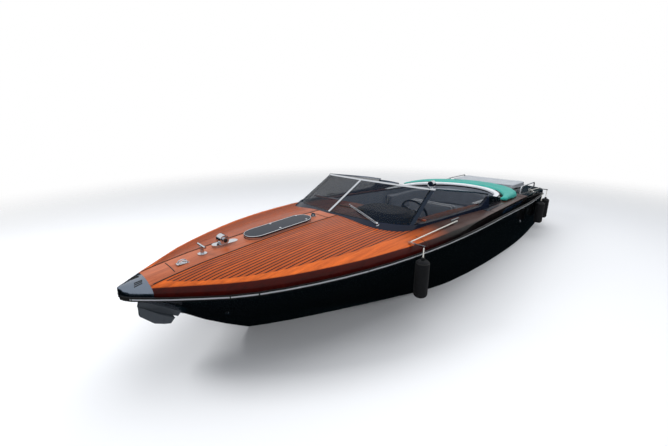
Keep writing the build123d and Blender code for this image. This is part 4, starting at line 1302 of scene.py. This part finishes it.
@dataclass
class Windscreen(Assembly):
    """Wrap-round screen, its frame and what stands on it."""

    finishes: dict[str, Finish] = field(default_factory=lambda: {
        "windscreen_glass": GLASS, "windscreen_rail": STEEL, "windscreen_base": BASE_BLUE,
        "windscreen_mullions": STRUT, "searchlight": STEEL,
    })
    fair_nodes: Sequence[str] = ("windscreen_base",)
    wiper_pivot: Point = (1.749, 0.719, 1.064)
    wiper_tip: Point = (1.656, 0.224, 1.152)
    wiper_ends: Sequence[Point] = ((1.690, 0.035, 1.148), (1.640, 0.428, 1.150))
    lamp_y: float = 0.858
    lamp_z: float = 1.415

    def build(self) -> None:
        """Dress the screen and add its small parts."""
        self.dress()
        self.wiper()
        self.base_beads()
        self.end_trims()
        self.lamp_rim()

    def wiper(self) -> None:
        """Pantograph wiper to port: two thin arms, a blade and its pivots."""
        foot = on_skin("windscreen_base", Vector(self.wiper_pivot) + Vector((0.04, 0.0, 0.04)), 0.012)
        head = on_skin("windscreen_glass", Vector(self.wiper_tip) + Vector((0.05, 0.0, 0.05)), 0.024)
        arms = []
        for gap in (-0.008, 0.008):
            shift = Vector((0.0, 0.0, gap))
            path = [foot, foot.lerp(head, 0.15) + Vector((0.008, 0.0, 0.008)),
                    foot.lerp(head, 0.5) + Vector((0.012, 0.0, 0.012)), head]
            arms.append(strand("arm", [point + shift for point in path], 0.003))
        for place, size in ((foot, 0.016), (head, 0.009)):
            knob = turned("knob", [(0.0, 0.018), (size * 0.7, 0.018), (size, 0.012), (size, -0.010),
                                   (size * 1.3, -0.014)])
            arms.append(stand(knob, place, (0.49, 0.0, 0.87)))
        settle(joined("wiper_arms_port", arms), STEEL, "stainless")
        first, last = [on_skin("windscreen_glass", Vector(end) + Vector((0.05, 0.0, 0.05)), 0.010)
                       for end in self.wiper_ends]
        spine = [on_skin("windscreen_glass", first.lerp(last, step / 8) + Vector((0.02, 0.0, 0.02)), 0.008)
                 for step in range(9)]
        settle(strand("wiper_blade_port", spine, 0.006), RUBBER, "dark_rim")

    def base_beads(self) -> None:
        """Sealing bead between the front of the glass and its base, port and starboard."""
        for side, label in SIDES:
            near = ((1.90, 0.0, 1.06), (1.86, 0.3, 1.05), (1.81, 0.6, 1.05))
            out = Vector((0.05, side * 0.02, -0.03))
            path = [on_skin("windscreen_glass", Vector((x, side * y, z)) + out, 0.002) for x, y, z in near]
            settle(strand("glass_bead_" + label, path, 0.004), RUBBER, "dark_rim")

    def end_trims(self) -> None:
        """Cast wedges that carry the screen's line down to the deck, aft of the glass."""
        for side, label in SIDES:
            piece = sheet("screen_end_" + label, (14, 5), lambda along, up: self.on_wedge(side, along, up))
            modified(piece, "thickness", "SOLIDIFY", thickness=0.026, offset=-side)
            modified(piece, "edges", "BEVEL", width=0.004, segments=2)
            settle(righted(piece), CAST, "stainless")

    def on_wedge(self, side: int, along: float, up: float) -> Point:
        """Place a corner of a wedge's outer face.

        Args:
            side: 1 to port, -1 to starboard.
            along: Share of its length, from its forward end.
            up: Share of its height, from the deck.

        Returns:
            The point.
        """
        x = -0.405 - 0.575 * along
        foot = landed(x, side * (1.030 - 0.028 * along), DECK).z
        top = max(foot + 0.010, 1.104 - 0.122 * along ** 1.15)
        return (x, side * (1.034 - 0.030 * along - 0.016 * up), foot + (top - foot) * up)

    def lamp_rim(self) -> None:
        """Lens and bezel of the searchlight, which looks forward."""
        centre = (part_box("searchlight")[1][0], self.lamp_y, self.lamp_z)
        rim = turned("lamp_bezel", [(0.032, -0.010), (0.039, -0.010), (0.0398, 0.0), (0.037, 0.006),
                                    (0.032, 0.002), (0.032, -0.010)])
        settle(stand(rim, centre, (1, 0, 0)), STEEL, "stainless")
        lens = turned("lamp_lens", [(0.0, 0.004), (0.015, 0.003), (0.028, 0.0), (0.0335, -0.004)])
        settle(stand(lens, centre, (1, 0, 0)), SMOKED, "dark_glass")


@dataclass
class Fittings(Assembly):
    """Metal fittings of the deck and stern, with the hooks and lines of the fenders."""

    finishes: dict[str, Finish] = field(default_factory=lambda: {
        "skylight_frame": STEEL, "skylight_lid": SMOKED, "cleats": STEEL, "bollard": STEEL,
        "windlass": STEEL, "deck_light": STEEL, "stern_rails": STEEL, "fender_hooks": STEEL,
        "fender_lines": ROPE,
    })
    rim_radius: float = 0.004
    knob_places: Sequence[float] = (-0.30, 0.05)
    screw_count: int = 4
    screw_circle: float = 0.033

    def build(self) -> None:
        """Dress the deck fittings and add their small parts."""
        self.dress()
        self.skylight_hardware()
        self.line_guide()
        self.windlass_parts()
        self.light_dome()
        self.bollard_screws()

    def skylight_hardware(self) -> None:
        """Bright rim and four knobs of the skylight lid."""
        low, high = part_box("skylight_lid")
        middle = (low + high) / 2
        half = (high - low) / 2
        straight = half.x - half.y
        ring = []
        for end, sign in ((middle.x + straight, 1), (middle.x - straight, -1)):
            for step in range(13):
                turn = math.pi * step / 12 - math.pi / 2
                x = end + sign * math.cos(turn) * (half.y - self.rim_radius)
                y = sign * math.sin(turn) * (half.y - self.rim_radius)
                ring.append(Vector((x, y, landed(x, y, ("skylight_lid",), -0.001).z)))
        settle(strand("skylight_rim", ring, self.rim_radius, closed=True), STEEL, "stainless", Body.SKYLIGHT)
        knob = turned("knob", [(0.0, 0.009), (0.009, 0.008), (0.013, 0.004), (0.014, -0.002)])
        spots = [(landed(middle.x + x, side * half.y * 0.72, ("skylight_lid",)), UP)
                 for x in self.knob_places for side, _ in SIDES]
        settle(joined("skylight_knobs", stood(knob, spots)), STEEL, "stainless", Body.SKYLIGHT)

    def line_guide(self) -> None:
        """Small fairlead on the king plank: a plate and two horns."""
        foot = landed(3.60, 0.035, DECK)
        plate = slab("guide_plate", (0.11, 0.055, 0.006), 0.002)
        parts = [stand(plate, foot + Vector((0.0, 0.0, 0.003)))]
        curve = ((-0.040, 0.020, 0.004), (-0.026, 0.021, 0.022), (0.0, 0.018, 0.030), (0.026, 0.021, 0.022),
                 (0.040, 0.020, 0.004))
        for side, _ in SIDES:
            parts.append(strand("horn", [foot + Vector((x, side * y, z)) for x, y, z in curve], 0.005))
        settle(joined("line_guide", parts), STEEL, "stainless")

    def windlass_parts(self) -> None:
        """Dark hub cap on the windlass drum."""
        low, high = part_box("windlass")
        middle = (low + high) / 2
        cap = turned("drum_cap", [(0.0, 0.006), (0.010, 0.006), (0.013, 0.003), (0.020, 0.0),
                                  (0.024, -0.003)])
        settle(stand(cap, (middle.x + 0.02, high.y, low.z + 0.064), (0, 1, 0)), RUBBER, "dark_rim")

    def light_dome(self) -> None:
        """Dark lens on the deck light."""
        low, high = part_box("deck_light")
        middle = (low + high) / 2
        dome = turned("deck_light_lens", [(0.0, 0.010), (0.008, 0.0094), (0.015, 0.007), (0.020, 0.003),
                                          (0.022, -0.001)])
        settle(stand(dome, (middle.x, middle.y, high.z)), SMOKED, "dark_glass")

    def bollard_screws(self) -> None:
        """Four countersunk screw heads in the bollard's flange."""
        low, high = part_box("bollard")
        middle = (low + high) / 2
        spots = []
        for count in range(self.screw_count):
            turn = math.tau * (count + 0.5) / self.screw_count
            x = middle.x + self.screw_circle * math.cos(turn)
            y = middle.y + self.screw_circle * math.sin(turn)
            spots.append((landed(x, y, ("bollard", "king_plank")), UP))
        screw = turned("screw", [(0.0, 0.0008), (0.0035, 0.0008), (0.0045, 0.0)])
        settle(joined("bollard_screws", stood(screw, spots)), DRIVE, "drive_paint")


@dataclass
class Cockpit(Assembly):
    """Liner, bulkhead, dashboard and helm."""

    finishes: dict[str, Finish] = field(default_factory=lambda: {
        "cockpit_liner": LINER, "cabin_bulkhead": PANEL, "cabin_door": PANEL, "dashboard": LINER,
        "dash_cowl": BROWN, "steering_wheel": RIM, "steering_column": STEEL, "throttle": STEEL,
        "helm_bench_base": LINER, "aft_seat_base": LINER, "instruments": SMOKED,
    })
    # place across, height and radius of each dial
    dials: Sequence[Point] = ((0.62, 0.80, 0.046), (0.51, 0.80, 0.046), (0.40, 0.80, 0.046),
                              (0.33, 0.74, 0.030), (0.69, 0.74, 0.030))
    needle_turn: float = 2.3
    mark_count: int = 9
    stitch_insets: Sequence[float] = (0.80, 0.86)
    stitch_corners: int = 36
    helm: Point = (0.75, 0.52, 0.96)
    helm_axis: Point = (-0.925, 0.0, 0.38)

    def build(self) -> None:
        """Dress the cockpit and add its small parts."""
        self.dress()
        self.gauges()
        self.horn_push()
        self.cowl_stitching()
        self.grab_rail()
        self.wood_top()

    def gauges(self) -> None:
        """Bezel, white marks and needle of every dial."""
        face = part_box("instruments")[0][0]
        bezels, marks = [], []
        for y, z, radius in self.dials:
            bezel = turned("bezel", [(radius * 0.86, 0.004), (radius * 0.92, 0.007), (radius, 0.006),
                                     (radius * 1.05, 0.001), (radius * 0.86, -0.001), (radius * 0.86, 0.004)])
            bezels.append(stand(bezel, (face, y, z), (-1, 0, 0)))
            centre = Vector((face - 0.001, y, z))
            for count in range(self.mark_count):
                turn = math.radians(-30 + 30 * count)
                out = Vector((0.0, math.cos(turn), math.sin(turn))) * radius
                marks.append(strand("mark", [centre + out * 0.66, centre + out * 0.80], 0.0012))
            out = Vector((0.0, math.cos(self.needle_turn), math.sin(self.needle_turn))) * radius
            marks.append(strand("needle", [centre - out * 0.12, centre + out * 0.62], 0.0014))
        settle(joined("dial_bezels", bezels), STEEL, "stainless")
        settle(joined("dial_marks", marks), WHITE, "white_leather")

    def horn_push(self) -> None:
        """Polished boss with the horn push, in the middle of the wheel."""
        axis = Vector(self.helm_axis).normalized()
        boss = turned("wheel_boss", [(0.0, 0.016), (0.012, 0.016), (0.016, 0.012), (0.028, 0.010),
                                     (0.037, 0.002), (0.038, -0.006)])
        settle(stand(boss, Vector(self.helm) + axis * 0.024, axis), STEEL, "stainless", Body.WHEEL)

    def cowl_stitching(self) -> None:
        """Twin rows of stitching round the top of the instrument cowl."""
        low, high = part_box("dash_cowl")
        middle, half = (low + high) / 2, (high - low) / 2
        rows = []
        for inset in self.stitch_insets:
            ring = []
            for step in range(self.stitch_corners):
                turn = math.tau * step / self.stitch_corners
                x, y = middle.x + half.x * inset * math.cos(turn), middle.y + half.y * inset * math.sin(turn)
                ring.append(landed(x, y, ("dash_cowl",)))
            rows.append(strand("stitch_row", ring, 0.0018, closed=True))
        settle(joined("cowl_stitching", rows), BROWN, "brown_leather")

    def grab_rail(self) -> None:
        """Polished grab rail along the top of the bulkhead, to starboard."""
        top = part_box("cabin_bulkhead")[1].z
        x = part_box("cabin_bulkhead")[0].x - 0.030
        bends = ((0.022, -0.06, 0.055), (0.004, -0.075, 0.052), (0.0, -0.10, 0.050), (0.0, -0.28, 0.048),
                 (0.0, -0.46, 0.050), (0.004, -0.485, 0.052), (0.022, -0.50, 0.055))
        path = [Vector((x + in_from, y, top - below)) for in_from, y, below in bends]
        settle(strand("grab_rail", path, 0.009), STEEL, "stainless")

    def wood_top(self) -> None:
        """Varnished capping along the top of the bulkhead."""
        low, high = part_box("cabin_bulkhead")
        cap = slab("bulkhead_cap", (0.05, (high.y - low.y) * 0.80, 0.014), 0.004)
        settle(stand(cap, ((low.x + high.x) / 2, 0.0, high.z - 0.004)), PANEL, "mahogany_board")


@dataclass
class Seating:
    """Every cushion of the boat, with its piping."""

    cushions: Sequence[Cushion] = (
        Cushion("helm_seat", SILVER, "silver_leather", channels=bars(0.12, lambda p: p.y)),
        Cushion("helm_backrest", SILVER, "silver_leather"),
        Cushion("aft_seat_cushion", SILVER, "silver_leather"),
        Cushion("aft_backrest", SILVER, "silver_leather"),
        Cushion("coaming_pad", WHITE, "white_leather", voxel=0.014, swell=0.006),
        Cushion("sunpad", TURQUOISE, "turquoise_leather", voxel=0.022),
        Cushion("aft_pad", PALE, "white_leather", Body.HATCH, channels=bars(0.13, lambda p: p.x)),
        Cushion("cabin_berth", SILVER, "silver_leather", voxel=0.03),
    )

    def build(self) -> None:
        """Make the cushions and sew on their piping."""
        self.pad_gap()
        for cushion in self.cushions:
            cushion.build()
        self.bench_piping()
        self.hatch_piping()

    def bench_piping(self) -> None:
        """White piping along the top of the helm backrest and the front of its seat."""
        back_low, back_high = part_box("helm_backrest")
        seat_low, seat_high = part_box("helm_seat")
        made = []
        for x, z, low, high in ((back_high.x - 0.018, back_high.z - 0.006, back_low, back_high),
                                (back_low.x + 0.018, back_high.z - 0.006, back_low, back_high),
                                (seat_high.x - 0.010, seat_high.z - 0.014, seat_low, seat_high)):
            bend = ((0.012, 0.05), (0.018, 0.012), (0.05, 0.0))
            path = [Vector((x, low.y + inward, z - down)) for inward, down in bend]
            path += [Vector((x, high.y - inward, z - down)) for inward, down in reversed(bend)]
            made.append(strand("bench_piping", path, 0.007))
        settle(joined("bench_pipings", made), WHITE, "white_leather")

    def pad_gap(self) -> None:
        """Painted shade: a dark strand laid in the joint between the white coaming pad and the turquoise pad,
        under the turquoise pad's edge.
        """
        low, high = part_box("coaming_pad")
        straight = 1.06
        last = 20
        path = []
        for step in range(-last, last + 1):
            turn = math.radians(4.6 * step)
            y = high.y * math.sin(turn) * 0.995
            x = -straight
            if abs(step) < last:
                x -= (abs(low.x) - straight + 0.012) * math.cos(turn)
            path.append(landed(x, y, ("sunpad", "coaming_pad", "covering_boards", "stern_deck"), -0.004))
        # painted shade: the strand stands for the shade in the joint between the pads
        settle(strand("pad_gap_painted_shade", path, 0.008), RUBBER, "dark_rim")

    def hatch_piping(self) -> None:
        """Piping round the top of the sunbathing pad on the engine hatch."""
        low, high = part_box("aft_pad")
        inset, corner = 0.014, 0.07
        ring = []
        corners = ((high.x, high.y, 0), (low.x, high.y, 90), (low.x, low.y, 180), (high.x, low.y, 270))
        for x, y, turn in corners:
            middle_x = x - math.copysign(corner + inset, x - (low.x + high.x) / 2)
            middle_y = y - math.copysign(corner + inset, y)
            for step in range(5):
                angle = math.radians(turn + 22.5 * step)
                ring.append(Vector((middle_x + corner * math.cos(angle), middle_y + corner * math.sin(angle),
                                    high.z - 0.018)))
        settle(strand("hatch_pad_piping", ring, 0.006, closed=True), SILVER, "silver_leather", Body.HATCH)


@dataclass
class SternGear(Assembly):
    """Platform, drive and propeller, the engine in its bay, and the fenders."""

    finishes: dict[str, Finish] = field(default_factory=lambda: {
        "swim_platform": TEAK, "drive_housing": DRIVE, "drive_yoke": DRIVE, "drive_leg": DRIVE,
        "propeller": STEEL, "engine_beds": LINER, "engine_block": ENGINE, "fenders": KNIT,
        "exhausts": STEEL, "trim_tabs": STEEL,
    })
    fender_places: Sequence[float] = (1.75, -2.60, -3.25)
    fender_reach: float = 0.12
    hem_inset: float = 0.055
    hem_radius: float = 0.066
    hem_corners: int = 24

    def build(self) -> None:
        """Dress the stern gear and add its small parts."""
        self.dress()
        self.fender_hems()

    def fender_hems(self) -> None:
        """Drawstring hems at both ends of every fender cover."""
        corners = [vertex.co.copy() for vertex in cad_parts["fenders"].data.vertices]
        turns = [math.tau * corner / self.hem_corners for corner in range(self.hem_corners)]
        made = []
        for x in self.fender_places:
            near = [co for co in corners if abs(co.x - x) < self.fender_reach]
            low = min(co.z for co in near)
            high = max(co.z for co in near)
            middle = sum((co for co in near), Vector()) / len(near)
            for z in (low + self.hem_inset, high - self.hem_inset):
                ring = [(middle.x + self.hem_radius * math.cos(turn),
                         middle.y + self.hem_radius * math.sin(turn), z) for turn in turns]
                made.append(strand("hem", ring, 0.0055, closed=True))
        settle(joined("fender_hems", made), RUBBER, "fender_cover")


@dataclass
class Studio:
    """Pale floor at the waterplane, soft light and the camera."""

    eye: Point = (4.462, 2.857, 2.086)
    heading: tuple[float, float] = (-0.689, -0.724)
    pitch: float = -16.635
    lens: float = 17.62
    floor_colour: str = "#E9EAEC"
    floor_near: float = 5.0
    floor_far: float = 13.0
    low_colour: str = "#0C1418"
    side_colour: str = "#2A3A44"
    card_height: float = 5.0
    card_radius: float = 24.0
    world_colour: str = "#E4E8EE"
    world_strength: float = 0.55

    def build(self) -> None:
        """Make floor, world, lamps and camera."""
        self.floor()
        self.cards()
        self.world()
        self.lamp("sky_panel", (-1.0, 0.0, 8.5), (0.0, 0.0, 0.6), 10.0, 620.0)
        self.lamp("key_panel", (7.5, -4.0, 6.5), (1.0, 0.0, 0.8), 3.0, 420.0)
        self.lamp("fill_panel", (3.0, 8.0, 4.0), (0.0, 0.5, 0.6), 5.0, 160.0)
        self.camera()

    def floor(self) -> None:
        """Lay the floor at the waterplane, fading out away from the boat."""
        ground = start("floor", bpy.ops.mesh.primitive_plane_add, size=80, location=(0, 0, 0))
        made = bpy.data.materials.new("pale_floor")
        made.use_nodes = True
        shader = made.node_tree.nodes["Principled BSDF"]
        shader.inputs["Base Color"].default_value = linear(self.floor_colour)
        shader.inputs["Roughness"].default_value = 0.9
        shader.inputs["Specular IOR Level"].default_value = 0.0
        tree = made.node_tree
        place = node(tree, "TexCoord").outputs["Object"]
        away = node(tree, "VectorMath", {0: place}, operation="LENGTH").outputs["Value"]
        fade = node(tree, "MapRange", {"Value": away, "From Min": self.floor_near, "From Max": self.floor_far,
                                       "To Min": 1.0, "To Max": 0.0}, interpolation_type="SMOOTHSTEP")
        tree.links.new(fade.outputs["Result"], shader.inputs["Alpha"])
        ground.data.materials.append(made)

    def cards(self) -> None:
        """Hang dark cards that only reflections see, so that black and chrome keep their contrast."""
        below = start("low_card", bpy.ops.mesh.primitive_plane_add, size=60, location=(0, 0, 0.003))
        around = start("side_card", bpy.ops.mesh.primitive_cylinder_add, vertices=48, radius=self.card_radius,
                       depth=self.card_height, end_fill_type="NOTHING", location=(0, 0, self.card_height / 2))
        for card, colour in ((below, self.low_colour), (around, self.side_colour)):
            made = bpy.data.materials.new(card.name)
            made.use_nodes = True
            tree = made.node_tree
            tree.nodes.clear()
            shader = node(tree, "Emission", {"Color": linear(colour), "Strength": 1.0})
            node(tree, "OutputMaterial", {"Surface": shader.outputs["Emission"]})
            card.data.materials.append(made)
            card.visible_camera = False
            card.visible_diffuse = False
            card.visible_shadow = False
            card.visible_transmission = False

    def world(self) -> None:
        """Plain pale light, and pure white where it is seen, through glass or in a reflection."""
        world = bpy.data.worlds.new("studio")
        bpy.context.scene.world = world
        world.use_nodes = True
        tree = world.node_tree
        tree.nodes.clear()
        rays = node(tree, "LightPath")
        seen = node(tree, "Math", {0: rays.outputs["Is Camera Ray"], 1: rays.outputs["Is Transmission Ray"]},
                    operation="MAXIMUM")
        seen = node(tree, "Math", {0: seen.outputs[0], 1: rays.outputs["Is Glossy Ray"]}, operation="MAXIMUM")
        soft = node(tree, "Background", {"Color": linear(self.world_colour), "Strength": self.world_strength})
        plain = node(tree, "Background", {"Color": (1.0, 1.0, 1.0, 1.0), "Strength": 1.0})
        mixed = node(tree, "MixShader", {0: seen.outputs[0], 1: soft.outputs[0], 2: plain.outputs[0]})
        node(tree, "OutputWorld", {"Surface": mixed.outputs[0]})

    def lamp(self, name: str, place: Point, aim: Point, size: float, power: float) -> None:
        """Hang one soft square lamp.

        Args:
            name: Name of the lamp.
            place: Where it hangs.
            aim: Where it points.
            size: Side of the panel.
            power: Watts.
        """
        light = bpy.data.lights.new(name, "AREA")
        light.size = size
        light.energy = power
        lamp = bpy.data.objects.new(name, light)
        bpy.context.scene.collection.objects.link(lamp)
        lamp.visible_glossy = False
        lamp.location = place
        lamp.rotation_mode = "QUATERNION"
        lamp.rotation_quaternion = (Vector(aim) - Vector(place)).to_track_quat("-Z", "Y")

    def camera(self) -> None:
        """Stand the camera where the photograph was taken."""
        data = bpy.data.cameras.new("viewpoint")
        data.lens = self.lens
        data.sensor_width = 36.0
        data.clip_end = 200.0
        eye = bpy.data.objects.new("viewpoint", data)
        bpy.context.scene.collection.objects.link(eye)
        drop = math.tan(math.radians(self.pitch)) * math.hypot(*self.heading)
        eye.location = self.eye
        eye.rotation_mode = "QUATERNION"
        eye.rotation_quaternion = Vector((*self.heading, drop)).to_track_quat("-Z", "Y")
        bpy.context.scene.camera = eye


def main() -> None:
    """Build the studio and every sub-assembly."""
    logging.basicConfig(level=logging.INFO, format="%(message)s")
    bpy.context.scene.view_settings.view_transform = "Standard"
    for assembly in (Studio(), HullAndDeck(), Windscreen(), Fittings(), Cockpit(), Seating(), SternGear()):
        log.info("assembly %s", type(assembly).__name__)
        assembly.build()


if __name__ == "__main__":
    main()
